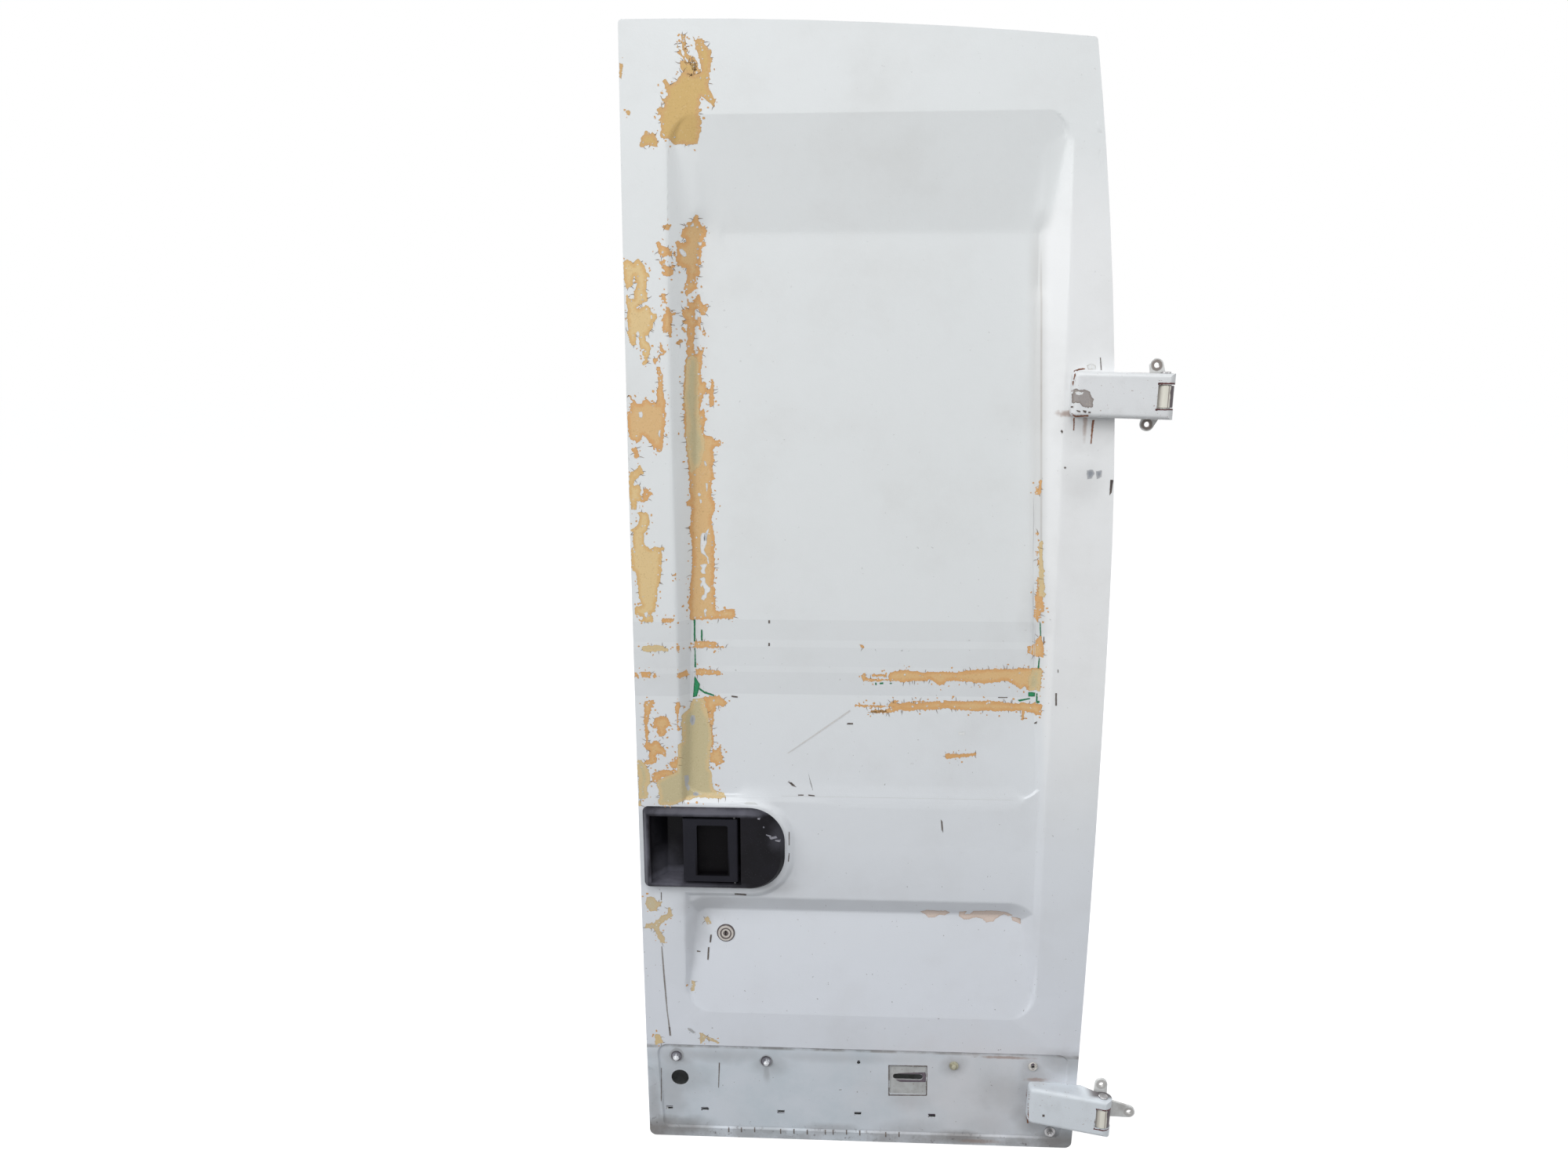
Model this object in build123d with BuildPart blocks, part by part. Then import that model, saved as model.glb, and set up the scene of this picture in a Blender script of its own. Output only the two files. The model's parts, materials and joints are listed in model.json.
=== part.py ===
import os
from math import acos, atan2, cos, radians, sin, sqrt, tan

from build123d import *

os.makedirs("parts", exist_ok=True)

# Rear barn door leaf of a panel van, in millimetres.
# +X runs from the free edge to the hinge edge, +Y into the van, +Z up.
# The origin lies on the back face of the lower bracket, behind the lower hinge pin.
# Places on the leaf are given as u from its free edge and v up from its foot.

# Leaf outline and bow
leaf_width = 774.0
leaf_height = 1900.0
belt_drop = 900.0
belt_height = leaf_height - belt_drop
foot_tuck = 11.0
shoulder_tuck = 57.0
roof_drop = 36.0
foot_corner = 12.0
crown_corner = 6.0
bow = 24.5
leaf_depth = 52.0

# Sheet
skin_gauge = 1.5
panel_gauge = 1.2
sheet_gap = 0.2
hem_width = 12.0

# Pressed centre field of the skin
field_left = 73.0
field_margin = 87.0
field_right = leaf_width - field_margin
field_foot = 258.0
field_head_margin = 138.0
field_head = leaf_height - field_head_margin
field_run_out = 3.0
field_corner = 10.0
field_corner_growth = 1.0
left_leans = (33.0, 58.0)  # degrees at the field's foot and head
right_leans = (46.0, 54.0)
end_lean = 50.0
step_lean = 45.0  # sides of the handle island and the foot strip
crease_drop = 173.0
crease_height = field_head - crease_drop
crease_depth = 32.0
panel_step = 3.0
panel_lean = 42.0
panel_corner = 40.0
panel_flare = 60.0
band_head = 670.0
band_foot = 478.0
band_depth = 9.0
lip_foot = 446.0
lip_depth = 29.0
recess_corner = 30.0
recess_flare = 14.0
corner_bite = 5.0
crease_round = 60.0
lip_head_round = 12.0
lip_foot_round = 10.0
rim_round = 8.0
wall_foot_round = 6.0

# Handle island left standing in the field
island_end = 256.0
island_foot = 492.0
island_head = 657.0
island_round = 66.0

# Joggled strip along the foot
strip_left = 22.0
strip_margin = 27.0
strip_right = leaf_width - strip_margin
strip_foot = 14.0
strip_head = 187.0
strip_depth = 3.0
strip_corner = 6.0

# Inner panel
pan_inset = 28.0
pan_corner = 34.0
pan_round = 9.0
flange_width = 32.0
aperture_left = 118.0
aperture_margin = 45.0
aperture_right = field_right - aperture_margin
aperture_foot = 738.0
aperture_head_margin = 74.0
aperture_head = field_head - aperture_head_margin
aperture_corner = 70.0
access_left = 176.0
access_margin = 65.0
access_right = field_right - access_margin
access_foot = 236.0
access_head = 436.0
access_corner = 40.0
turned_lip = 9.0

# Hat sections behind the skin
hat_drops = {"lower_stiffener": 728.0, "upper_stiffener": 358.0}
hat_flange = 16.0
hat_crown = 34.0
hat_slope = 9.0
hat_height = 15.0
hat_end_gap = 5.0

# Handle
handle_u = 128.5
handle_v = 574.5
housing_width = 243.0
housing_height = 149.0
housing_proud = 13.0
housing_lean = 30.0
housing_corner = 10.0
housing_end_corner = 62.0
housing_edge = 2.5
housing_wall = 3.0
pocket_left = -108.0
pocket_right = 47.0
pocket_half = 62.0
pocket_depth = 30.0
pocket_ramp = 24.0
pocket_round = 7.0
paddle_left = -52.0
paddle_right = 42.0
paddle_half = 57.0
paddle_front = 12.0
paddle_back = -3.0
paddle_edge = 4.0
dimple_left = -28.0
dimple_right = 25.0
dimple_half = 46.0
dimple_depth = 11.0
dimple_corner = 3.0
paddle_axis_u = 36.0
paddle_axis_w = 5.0
paddle_pin_radius = 2.0
paddle_bore_gap = 0.08
paddle_pin_half = 65.5
cutout_gap = 3.0

# Lock
lock_u = 144.0
lock_v = 402.6
lock_flange_radius = 16.0
lock_flange_proud = 3.0
lock_barrel_radius = 11.0
lock_barrel_length = 24.0
lock_plug_radius = 8.0
lock_plug_gap = 0.05
lock_plug_recess = 0.8
lock_plug_length = 21.0
key_slot_width = 2.4
key_slot_height = 9.0
key_slot_depth = 12.0
lock_hole_gap = 0.5

# Latch on the meeting edge
latch_v = 762.0
latch_height = 92.0
latch_width = 34.0
latch_front = 14.0
latch_back = 46.0
latch_mouth = 16.0
latch_mouth_depth = 22.0
latch_nose = 5.0
latch_gap = 0.5
fork_radius = 13.0
fork_slot = 8.0
fork_thickness = 5.0

# Fittings of the foot strip
stud_washer_radius = 9.5
stud_washer_height = 1.8
stud_nut_flats = 10.0
stud_nut_height = 6.0
stud_end_radius = 3.0
stud_end_height = 3.0
stud_places = {"foot_stud_left": (52.7, 166.0), "foot_stud_inner": (214.4, 160.5)}
clip_u = 549.0
clip_v = 162.0
clip_radius = 8.0
clip_height = 2.0
clip_dome = 4.5
grommet_margin = 59.0
grommet_u = strip_right - grommet_margin
grommet_v = 165.0
grommet_radius = 8.0
grommet_height = 2.5
grommet_bore = 3.2
corner_bolt_margin = 23.0
corner_bolt_u = strip_right - corner_bolt_margin
corner_bolt_v = 32.0
lamp_hole_u = 58.0
lamp_hole_v = 121.0
lamp_hole_radius = 15.7
small_hole_u = 380.0
small_hole_v = 162.0
small_hole_radius = 3.2
drain_slots = (37.0, 103.0, 241.0, 379.5, 513.0)
drain_v = 56.0
drain_width = 12.0
drain_height = 4.5
plate_cut_u = 468.0
plate_cut_v = 129.0
plate_cut_width = 65.0
plate_cut_height = 57.0
plate_overlap = 7.0
plate_slot_width = 53.0
plate_slot_height = 11.0
plate_slot_lift = 6.0

# Hinges: the pins share one axis, which leans a little outwards at the top
lower_pin_reach = 31.0
lower_pin_u = leaf_width + lower_pin_reach
lower_pin_v = 96.0
upper_pin_reach = 62.0
upper_pin_u = leaf_width + upper_pin_reach
upper_pin_drop = 561.4
upper_pin_v = leaf_height - upper_pin_drop
pin_proud = 26.0
pillar_step = 12.0
pin_radius = 5.0
pin_fit = 0.02
pin_run = 0.06
pin_head_radius = 8.0
pin_head_height = 2.5
arm_half = 35.0
arm_wall = 3.0
arm_nose = 15.0
arm_nose_step = 0.5
arm_nose_back = 8.0
arm_edge = 8.0
arm_root_rise = 20.0
arm_root_round = 12.0
arm_seat_gap = 0.2
arm_window_half = 18.0
arm_window_reach = 13.0
arm_grips = {"upper": 77.0, "lower": 94.0}
barrel_radius = 10.0
barrel_half = 30.0
knuckle_radius = 14.0
knuckle_half = 16.5
neck_half_width = 7.0
neck_half_height = 13.0
bracket_thickness = 5.0
ear_radius = 10.5
ear_hole_radius = 4.25
pad_half_width = 11.0
pad_half_height = 16.0
ears = {"upper": ((-8.0, 47.0), (-18.0, -44.0)), "lower": ((1.5, 45.0), (52.0, -7.5))}
hinge_plate_width = 44.0
hinge_plate_half = 44.0
hinge_plate_gauge = 4.0
hinge_hole_radius = 14.0
hinge_hole_margin = 19.0
hinge_hole_u = field_right + hinge_hole_margin

# The skin's front is an arc in side view
bow_radius = (leaf_height**2 / 4 + bow**2) / (2 * bow)
mid_height = leaf_height / 2
overrun = 40.0
far_back = 120.0


def skin_depth(v):
    """Depth of the bowed skin behind the chord of its arc, negative towards the viewer."""
    return -bow + bow_radius - sqrt(bow_radius**2 - (v - mid_height) ** 2)


def skin_slope(v):
    return (v - mid_height) / sqrt(bow_radius**2 - (v - mid_height) ** 2)


def place(u, depth, v):
    """A point of the leaf in the part's own frame."""
    return (u - lower_pin_u, pillar_step + depth, v - lower_pin_v)


def front_plane(depth):
    """Upright plane with u to the right, v up and its normal out of the van."""
    return Plane(origin=place(0, depth, 0), x_dir=(1, 0, 0), z_dir=(0, -1, 0))


def side_plane(u):
    """Plane across the leaf with depth to the right, v up and its normal along +X."""
    return Plane(origin=place(u, 0, 0), x_dir=(0, 1, 0), z_dir=(1, 0, 0))


def skin_plane(u, v, depth):
    """Plane on the bowed skin, sunk by depth, with its normal square to the surface."""
    return Plane(
        origin=place(u, skin_depth(v) + depth, v), x_dir=(1, 0, 0), z_dir=(0, -1, skin_slope(v))
    )


def on_skin(v, depth):
    """Point of a side view, sunk by depth behind the bowed skin."""
    return (skin_depth(v) + depth, v)


def edge_u(v):
    """Hinge edge of the leaf at a height: an arc up from the belt and one down."""
    height = v - belt_height
    tuck, run = (shoulder_tuck, leaf_height - roof_drop - belt_height)
    if height < 0:
        tuck, run = (foot_tuck, belt_height)
    radius = (run**2 + tuck**2) / (2 * tuck)
    return leaf_width - radius + sqrt(radius**2 - height**2)


def moved_in(part, depth):
    return part.moved(Location((0, depth, 0)))


def write(builder, label):
    builder.part.label = label
    export_step(builder.part, f"parts/{label}.step")


# Everything behind the bowed surface, wider and taller than the leaf
with BuildPart() as bowed_mass:
    with BuildSketch(side_plane(-overrun)):
        with BuildLine():
            low = on_skin(-overrun, 0)
            high = on_skin(leaf_height + overrun, 0)
            ThreePointArc(low, on_skin(mid_height, 0), high)
            Polyline(high, (far_back, leaf_height + overrun), (far_back, -overrun), low)
        make_face()
    extrude(amount=leaf_width + 2 * overrun)


def leaf_prism(inset, foot_radius, crown_radius):
    """The leaf's outline, drawn in by inset and run straight through its depth."""
    with BuildPart() as prism:
        with BuildSketch(front_plane(-bow - overrun)):
            with BuildLine():
                crown = (0, leaf_height)
                foot = (0, 0)
                hinge_foot = (leaf_width - foot_tuck, 0)
                belt = (leaf_width, belt_height)
                shoulder = (leaf_width - shoulder_tuck, leaf_height - roof_drop)
                Polyline(crown, foot, hinge_foot)
                TangentArc(belt, hinge_foot, tangent=(0, -1))
                TangentArc(belt, shoulder, tangent=(0, 1))
                TangentArc(crown, shoulder, tangent=(1, 0))
            make_face()
            if inset > 0:
                offset(amount=-inset, kind=Kind.INTERSECTION)
            fillet(vertices().sort_by(Axis.Y)[:2], foot_radius)
            fillet(vertices().sort_by(Axis.Y)[-2:], crown_radius)
        extrude(amount=-(bow + overrun + far_back))
    return prism.part


# Points of the centre field's floor in side view, as depth and v
head = Vector(*on_skin(field_head, 0))
crease = Vector(*on_skin(crease_height, crease_depth))
panel_foot = Vector(*on_skin(band_head, band_depth + panel_step))
band_end = Vector(*on_skin(band_foot, band_depth))
lip = Vector(*on_skin(lip_foot, lip_depth))
foot = Vector(*on_skin(field_foot, 0))
punch_margin = 2.0
punch_depth = crease_depth + punch_margin
punch_front = bow + 6.0


def wall_run(leans, v):
    """Inward run of a side wall for each millimetre of depth; its lean changes with height."""
    share = (v - field_foot) / (field_head - field_foot)
    return tan(radians(leans[0] + (leans[1] - leans[0]) * share))


def left_wall_u(v, depth):
    return field_left + depth * wall_run(left_leans, v)


def right_wall_u(v, depth):
    return field_right - depth * wall_run(right_leans, v)


# Leaning walls round the whole field, drawn on a deep plane and on one before the skin
with BuildPart() as field_walls:
    end_run = tan(radians(end_lean))
    for depth in (punch_depth, -punch_front):
        low = field_foot - field_run_out + (depth - foot.X) * end_run
        high = field_head + field_run_out - (depth - head.X) * end_run
        heights = (low, (low + high) / 2, high)
        with BuildSketch(front_plane(depth)):
            with BuildLine():
                left_wall = ThreePointArc([(left_wall_u(v, depth - skin_depth(v)), v) for v in heights])
                right_wall = ThreePointArc([(right_wall_u(v, depth - skin_depth(v)), v) for v in heights])
                Line(left_wall @ 0, right_wall @ 0)
                Line(left_wall @ 1, right_wall @ 1)
            make_face()
            fillet(vertices(), field_corner + (punch_depth - depth) * field_corner_growth)
    loft(ruled=True)


def front_of(*line, rounds=None):
    """Everything before a floor that is drawn in side view."""
    with BuildPart() as block:
        with BuildSketch(side_plane(-overrun)):
            with BuildLine():
                if rounds is None:
                    floor = Polyline(*line)
                else:
                    floor = FilletPolyline(*line, radius=rounds)
                clear = -punch_front - overrun
                Polyline(floor @ 0, (clear, (floor @ 0).Y), (clear, (floor @ 1).Y), floor @ 1)
            make_face()
        extrude(amount=leaf_width + 2 * overrun)
    return block.part


def round_ended(level, deepest, end_v, far_v, run, corner, flare):
    """Block with one leaning end and two rounded corners, set a bite outside the walls' feet."""
    depth_in = level - skin_depth(end_v)
    left = left_wall_u(end_v, depth_in) - corner_bite
    right = right_wall_u(end_v, depth_in) + corner_bite
    outward = 1 if end_v > far_v else -1
    with BuildPart() as block:
        for depth in (deepest, -punch_front):
            grow = (level - depth) * run
            with BuildSketch(front_plane(depth)):
                with BuildLine():
                    Polyline(
                        (left - grow, end_v + outward * grow),
                        (right + grow, end_v + outward * grow),
                        (right + grow + flare, far_v),
                        (left - grow - flare, far_v),
                        close=True,
                    )
                make_face()
                fillet(vertices().sort_by(Axis.Y, reverse=outward > 0)[:2], corner + grow)
        loft(ruled=True)
    return block.part


# Upper panel, falling from its foot to the crease and rising to the head
with BuildPart() as panel_punch:
    panel_block = round_ended(
        level=panel_foot.X,
        deepest=crease.X + punch_margin,
        end_v=band_head,
        far_v=leaf_height + overrun,
        run=tan(radians(panel_lean)),
        corner=panel_corner,
        flare=panel_flare,
    )
    add(panel_block)
    over_head = head + (head - crease) * 0.3
    under_foot = panel_foot + (panel_foot - crease) * 0.2
    add(front_of(over_head, crease, under_foot, rounds=crease_round), mode=Mode.INTERSECT)

# Lower recess, deepest under its lip
with BuildPart() as recess_punch:
    add(
        round_ended(
            level=lip.X,
            deepest=lip.X + punch_margin,
            end_v=lip_foot,
            far_v=-overrun,
            run=(band_foot - lip_foot) / (lip.X - band_end.X),
            corner=recess_corner,
            flare=recess_flare,
        )
    )
    add(front_of(lip + (lip - foot) * 0.4, foot + (foot - lip) * 0.3), mode=Mode.INTERSECT)

# Band at one depth between them, with the lip below it rounded at both edges
with BuildPart() as floor_punch:
    add(front_of((far_back, crease_height), (far_back, lip_foot - overrun)))
    add(moved_in(bowed_mass.part, band_depth), mode=Mode.SUBTRACT)
    add(panel_punch.part)
    add(recess_punch.part)
    lip_middle = (lip + band_end) * 0.5
    lip_place = place((field_left + field_right) / 2, lip_middle.X, lip_middle.Y)
    fillet(faces().sort_by_distance(lip_place)[0].edges().sort_by(Axis.Z)[-1], lip_head_round)
    fillet(faces().sort_by_distance(lip_place)[0].edges().sort_by(Axis.Z)[0], lip_foot_round)

# The handle's island stays at the level of the free-edge band
with BuildPart() as island:
    step_run = tan(radians(step_lean))
    island_v = (island_foot + island_head) / 2
    island_shrink = (punch_front + skin_depth(island_v)) * step_run
    with BuildSketch(front_plane(-punch_front)):
        with Locations((island_end - island_shrink, island_v)):
            island_height = island_head - island_foot - 2 * island_shrink
            Rectangle(island_end, island_height, align=(Align.MAX, Align.CENTER))
        fillet(vertices().group_by(Axis.X)[-1], island_round - island_shrink)
    extrude(amount=-(punch_front + punch_depth), taper=-step_lean)

with BuildPart() as field_punch:
    add(field_walls.part)
    add(floor_punch.part, mode=Mode.INTERSECT)
    add(island.part, mode=Mode.SUBTRACT)

# Punch of the joggled strip: a shallow step with leaning sides
with BuildPart() as strip_punch:
    strip_base = strip_depth + 2.0
    strip_middle = (strip_foot + strip_head) / 2
    strip_shift = (strip_base - skin_depth(strip_middle)) * step_run
    with BuildSketch(front_plane(strip_base)):
        strip_centre = ((strip_left + strip_right) / 2, strip_middle)
        with Locations(strip_centre):
            RectangleRounded(
                strip_right - strip_left - 2 * strip_shift,
                strip_head - strip_foot - 2 * strip_shift,
                strip_corner,
            )
    extrude(amount=strip_base + punch_front, taper=-step_lean)
    add(moved_in(bowed_mass.part, strip_depth), mode=Mode.SUBTRACT)


def border_edges(faces):
    """Edges that only one of the faces has."""
    edges = [edge for face in faces for edge in face.edges()]
    return [edge for edge in edges if sum(edge.is_same(other) for other in edges) == 1]


def lying_on(faces, block):
    """Those of the faces that a side of the block gave."""
    touch = 0.01
    upright = 0.99
    sides = [side for side in block.faces() if abs(side.normal_at().Y) < upright]
    return [face for face in faces if any(side.distance_to(face.position_at(0.5, 0.5)) < touch for side in sides)]


# Everything behind the pressed surface, with its walls rounded at the foot and the rim
with BuildPart() as pressed_mass:
    add(bowed_mass.part)
    add(field_punch.part, mode=Mode.SUBTRACT)
    front = faces().filter_by(GeomType.CYLINDER).sort_by(SortBy.AREA)[-1]
    pressed = [face for face in faces() if not face.is_same(front)]
    walls = lying_on(pressed, field_walls.part) + lying_on(pressed, island.part)
    steps = lying_on(pressed, panel_block)
    left_sharp = front.inner_wires()[0].edges() + [edge for step in steps for edge in step.edges()]
    feet = [edge for edge in border_edges(walls) if not any(edge.is_same(other) for other in left_sharp)]
    fillet(feet, wall_foot_round)
    front = faces().filter_by(GeomType.CYLINDER).sort_by(SortBy.AREA)[-1]
    fillet(front.inner_wires()[0].edges(), rim_round)
    add(strip_punch.part, mode=Mode.SUBTRACT)

# Hem: the skin's edge folded back round the inner panel's flange
flange_front = skin_gauge + sheet_gap
flange_back = flange_front + panel_gauge
hem_slot = flange_back + sheet_gap
hem_depth = hem_slot + skin_gauge
with BuildPart() as hem_slot_mass:
    add(leaf_prism(skin_gauge, foot_corner - skin_gauge, crown_corner - skin_gauge))
    add(moved_in(bowed_mass.part, skin_gauge), mode=Mode.INTERSECT)
    add(moved_in(bowed_mass.part, hem_slot), mode=Mode.SUBTRACT)

with BuildPart() as hem:
    add(leaf_prism(0, foot_corner, crown_corner))
    add(bowed_mass.part, mode=Mode.INTERSECT)
    add(moved_in(bowed_mass.part, hem_depth), mode=Mode.SUBTRACT)
    add(leaf_prism(hem_width, foot_corner, foot_corner), mode=Mode.SUBTRACT)
    add(hem_slot_mass.part, mode=Mode.SUBTRACT)

# Handle planes: u right and v up on the island, and u right with w out of the skin
handle_face = skin_plane(handle_u, handle_v, 0)
handle_section = Plane(
    origin=handle_face.origin, x_dir=handle_face.x_dir, z_dir=handle_face.y_dir * -1
)
cup_left = pocket_left - housing_wall
cup_right = pocket_right + housing_wall
cup_half = pocket_half + housing_wall

# The lock stands square to the lower recess floor
recess_slope = (lip.X - foot.X) / (lip.Y - foot.Y)
lock_depth = foot.X + (lock_v - foot.Y) * recess_slope
lock_face = Plane(
    origin=place(lock_u, lock_depth, lock_v), x_dir=(1, 0, 0), z_dir=(0, -1, recess_slope)
)

with BuildPart() as outer_skin:
    add(pressed_mass.part)
    add(moved_in(pressed_mass.part, skin_gauge), mode=Mode.SUBTRACT)
    add(leaf_prism(0, foot_corner, crown_corner), mode=Mode.INTERSECT)
    add(hem.part)
    with BuildSketch(front_plane(-bow - overrun)):
        with Locations((handle_u + (cup_left + cup_right) / 2, handle_v)):
            cutout_width = cup_right - cup_left + 2 * cutout_gap
            RectangleRounded(cutout_width, 2 * (cup_half + cutout_gap), pocket_round)
        with Locations((lamp_hole_u, lamp_hole_v)):
            Circle(lamp_hole_radius)
        with Locations((small_hole_u, small_hole_v)):
            Circle(small_hole_radius)
        with Locations((grommet_u, grommet_v)):
            Circle(grommet_bore + 1.0)
        with Locations(*[(u, drain_v) for u in drain_slots]):
            Rectangle(drain_width, drain_height)
        with Locations((plate_cut_u, plate_cut_v)):
            RectangleRounded(plate_cut_width, plate_cut_height, strip_depth)
    extrude(amount=-far_back, mode=Mode.SUBTRACT)
    with BuildSketch(lock_face.offset(overrun)):
        Circle(lock_barrel_radius + lock_hole_gap)
    extrude(amount=-2 * overrun, mode=Mode.SUBTRACT)
write(outer_skin, "outer_skin")


def pan_mass(inset, depth, corner, edge_round):
    """Tray of the inner panel: the drawn-in outline, closed by a bowed back with a rounded edge."""
    with BuildPart() as pan:
        add(leaf_prism(inset, corner, corner))
        add(moved_in(bowed_mass.part, depth), mode=Mode.SUBTRACT)
        back = faces().filter_by(GeomType.CYLINDER).sort_by(SortBy.AREA)[-1]
        fillet(back.outer_wire().edges(), edge_round)
    return pan.part


def aperture_sketch(left, right, foot, head, corner, grow):
    """Rounded rectangle between the given sides, grown all round."""
    with Locations(((left + right) / 2, (foot + head) / 2)):
        RectangleRounded(right - left + 2 * grow, head - foot + 2 * grow, corner + grow)


apertures = (
    (aperture_left, aperture_right, aperture_foot, aperture_head, aperture_corner),
    (access_left, access_right, access_foot, access_head, access_corner),
)

# Lips turned forward round the two openings
with BuildPart() as turned_lips:
    with BuildSketch(front_plane(-bow - overrun)):
        for aperture in apertures:
            aperture_sketch(*aperture, panel_gauge)
    extrude(amount=-(bow + overrun + far_back))
    with BuildSketch(front_plane(-bow - overrun)):
        for aperture in apertures:
            aperture_sketch(*aperture, 0)
    extrude(amount=-(bow + overrun + far_back), mode=Mode.SUBTRACT)
    add(moved_in(bowed_mass.part, leaf_depth - turned_lip), mode=Mode.INTERSECT)
    add(moved_in(bowed_mass.part, leaf_depth - panel_gauge / 2), mode=Mode.SUBTRACT)

# Flange that lies in the hem and follows the pressed skin
with BuildPart() as flange:
    add(moved_in(pressed_mass.part, flange_front))
    add(moved_in(pressed_mass.part, flange_back), mode=Mode.SUBTRACT)
    edge_clear = skin_gauge + sheet_gap
    add(leaf_prism(edge_clear, foot_corner - edge_clear, crown_corner - edge_clear), mode=Mode.INTERSECT)
    add(leaf_prism(flange_width, pan_corner, pan_corner), mode=Mode.SUBTRACT)

with BuildPart() as inner_panel:
    add(pan_mass(pan_inset, leaf_depth, pan_corner, pan_round))
    inner_inset = pan_inset + panel_gauge
    inner_round = pan_round - panel_gauge
    inner_corner = pan_corner - panel_gauge
    add(pan_mass(inner_inset, leaf_depth - panel_gauge, inner_corner, inner_round), mode=Mode.SUBTRACT)
    add(moved_in(pressed_mass.part, flange_front), mode=Mode.INTERSECT)
    add(flange.part)
    with BuildSketch(front_plane(far_back)):
        for aperture in apertures:
            aperture_sketch(*aperture, 0)
        with Locations(*[(hinge_hole_u, v) for v in (lower_pin_v, upper_pin_v)]):
            Circle(hinge_hole_radius)
    extrude(amount=far_back - leaf_depth / 2, mode=Mode.SUBTRACT)
    add(turned_lips.part)
    # Relief in the free-edge wall for the handle cup, and the notch of the latch
    with BuildSketch(handle_face.offset(overrun)):
        with Locations(((cup_left + cup_right) / 2, 0)):
            Rectangle(cup_right - cup_left + 4 * cutout_gap, 2 * (cup_half + 2 * cutout_gap))
    extrude(amount=-(overrun + pocket_depth + housing_wall + cutout_gap), mode=Mode.SUBTRACT)
    with BuildSketch(side_plane(0)):
        with Locations(((skin_depth(latch_v) + latch_front + far_back) / 2, latch_v)):
            notch_depth = far_back - skin_depth(latch_v) - latch_front + 2 * latch_gap
            Rectangle(notch_depth, latch_height + 2 * latch_gap)
    extrude(amount=pan_inset + latch_width + latch_gap, mode=Mode.SUBTRACT)
write(inner_panel, "inner_panel")

# Hat sections bonded across the back of the recessed skin
floor_slope = (crease.X - panel_foot.X) / (crease_height - band_head)


def floor_back(v):
    return crease.X + (v - crease_height) * floor_slope + skin_gauge + sheet_gap


hat_half = hat_crown / 2 + hat_slope + hat_flange
hat_steps = ((-hat_half, 0), (-hat_half + hat_flange, 0), (-hat_crown / 2, hat_height))
hat_steps = hat_steps + tuple((-v, rise) for v, rise in reversed(hat_steps))
for name, drop in hat_drops.items():
    height = aperture_head - drop
    with BuildPart() as stiffener:
        with BuildSketch(side_plane(aperture_left + hat_end_gap)):
            with BuildLine():
                front_line = Polyline([(floor_back(height + v) + rise, height + v) for v, rise in hat_steps])
                back_line = Polyline(
                    [(floor_back(height + v) + rise + panel_gauge, height + v) for v, rise in hat_steps]
                )
                Line(front_line @ 0, back_line @ 0)
                Line(front_line @ 1, back_line @ 1)
            make_face()
        extrude(amount=aperture_right - aperture_left - 2 * hat_end_gap)
    write(stiffener, name)

# Handle housing: a leaning D-shaped moulding with a cup behind it for the fingers
with BuildPart() as handle_housing:
    housing_seat = 0.2
    with BuildSketch(handle_face.offset(housing_seat)):
        Rectangle(housing_width, housing_height)
        fillet(vertices().group_by(Axis.X)[0], housing_corner)
        fillet(vertices().group_by(Axis.X)[-1], housing_end_corner)
    extrude(amount=housing_proud, taper=housing_lean)
    fillet(faces().sort_by(Axis.Y)[0].outer_wire().edges(), housing_edge)
    pocket_profile = (
        (pocket_left, housing_proud + overrun),
        (pocket_left, 0),
        (pocket_left + pocket_ramp, -pocket_depth),
        (pocket_right, -pocket_depth),
        (pocket_right, housing_proud + overrun),
    )
    with BuildSketch(handle_section):
        with BuildLine():
            FilletPolyline(
                (cup_left, housing_proud / 2),
                (cup_left, -housing_wall / 2),
                (pocket_left + pocket_ramp - housing_wall / 2, -pocket_depth - housing_wall),
                (cup_right, -pocket_depth - housing_wall),
                (cup_right, housing_proud / 2),
                radius=pocket_round,
                close=False,
            )
            Line((cup_right, housing_proud / 2), (cup_left, housing_proud / 2))
        make_face()
    extrude(amount=cup_half, both=True)
    with BuildSketch(handle_section):
        with BuildLine():
            FilletPolyline(pocket_profile, radius=pocket_round)
            Line(pocket_profile[-1], pocket_profile[0])
        make_face()
    extrude(amount=pocket_half, both=True, mode=Mode.SUBTRACT)
    with BuildSketch(handle_section):
        with Locations((paddle_axis_u, paddle_axis_w)):
            Circle(paddle_pin_radius + pin_fit)
    extrude(amount=paddle_pin_half, both=True, mode=Mode.SUBTRACT)
write(handle_housing, "handle_housing")

with BuildPart() as paddle_pin:
    with BuildSketch(handle_section):
        with Locations((paddle_axis_u, paddle_axis_w)):
            Circle(paddle_pin_radius)
    extrude(amount=paddle_pin_half, both=True)
write(paddle_pin, "paddle_pin")

# Pull paddle: hinged on its right, with a deep thumb dimple in its face
with BuildPart() as handle_paddle:
    with BuildSketch(handle_section):
        with BuildLine():
            FilletPolyline(
                (paddle_left, paddle_front),
                (paddle_right, paddle_front),
                (paddle_right, paddle_back),
                (paddle_left, paddle_back),
                radius=paddle_edge,
                close=True,
            )
        make_face()
    extrude(amount=paddle_half, both=True)
    with BuildSketch(handle_face.offset(paddle_front)):
        with Locations(((dimple_left + dimple_right) / 2, 0)):
            RectangleRounded(dimple_right - dimple_left, 2 * dimple_half, dimple_corner)
    extrude(amount=-dimple_depth, taper=4, mode=Mode.SUBTRACT)
    with BuildSketch(handle_section):
        with Locations((paddle_axis_u, paddle_axis_w)):
            Circle(paddle_pin_radius + paddle_bore_gap)
    extrude(amount=paddle_half, both=True, mode=Mode.SUBTRACT)
write(handle_paddle, "handle_paddle")

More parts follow.
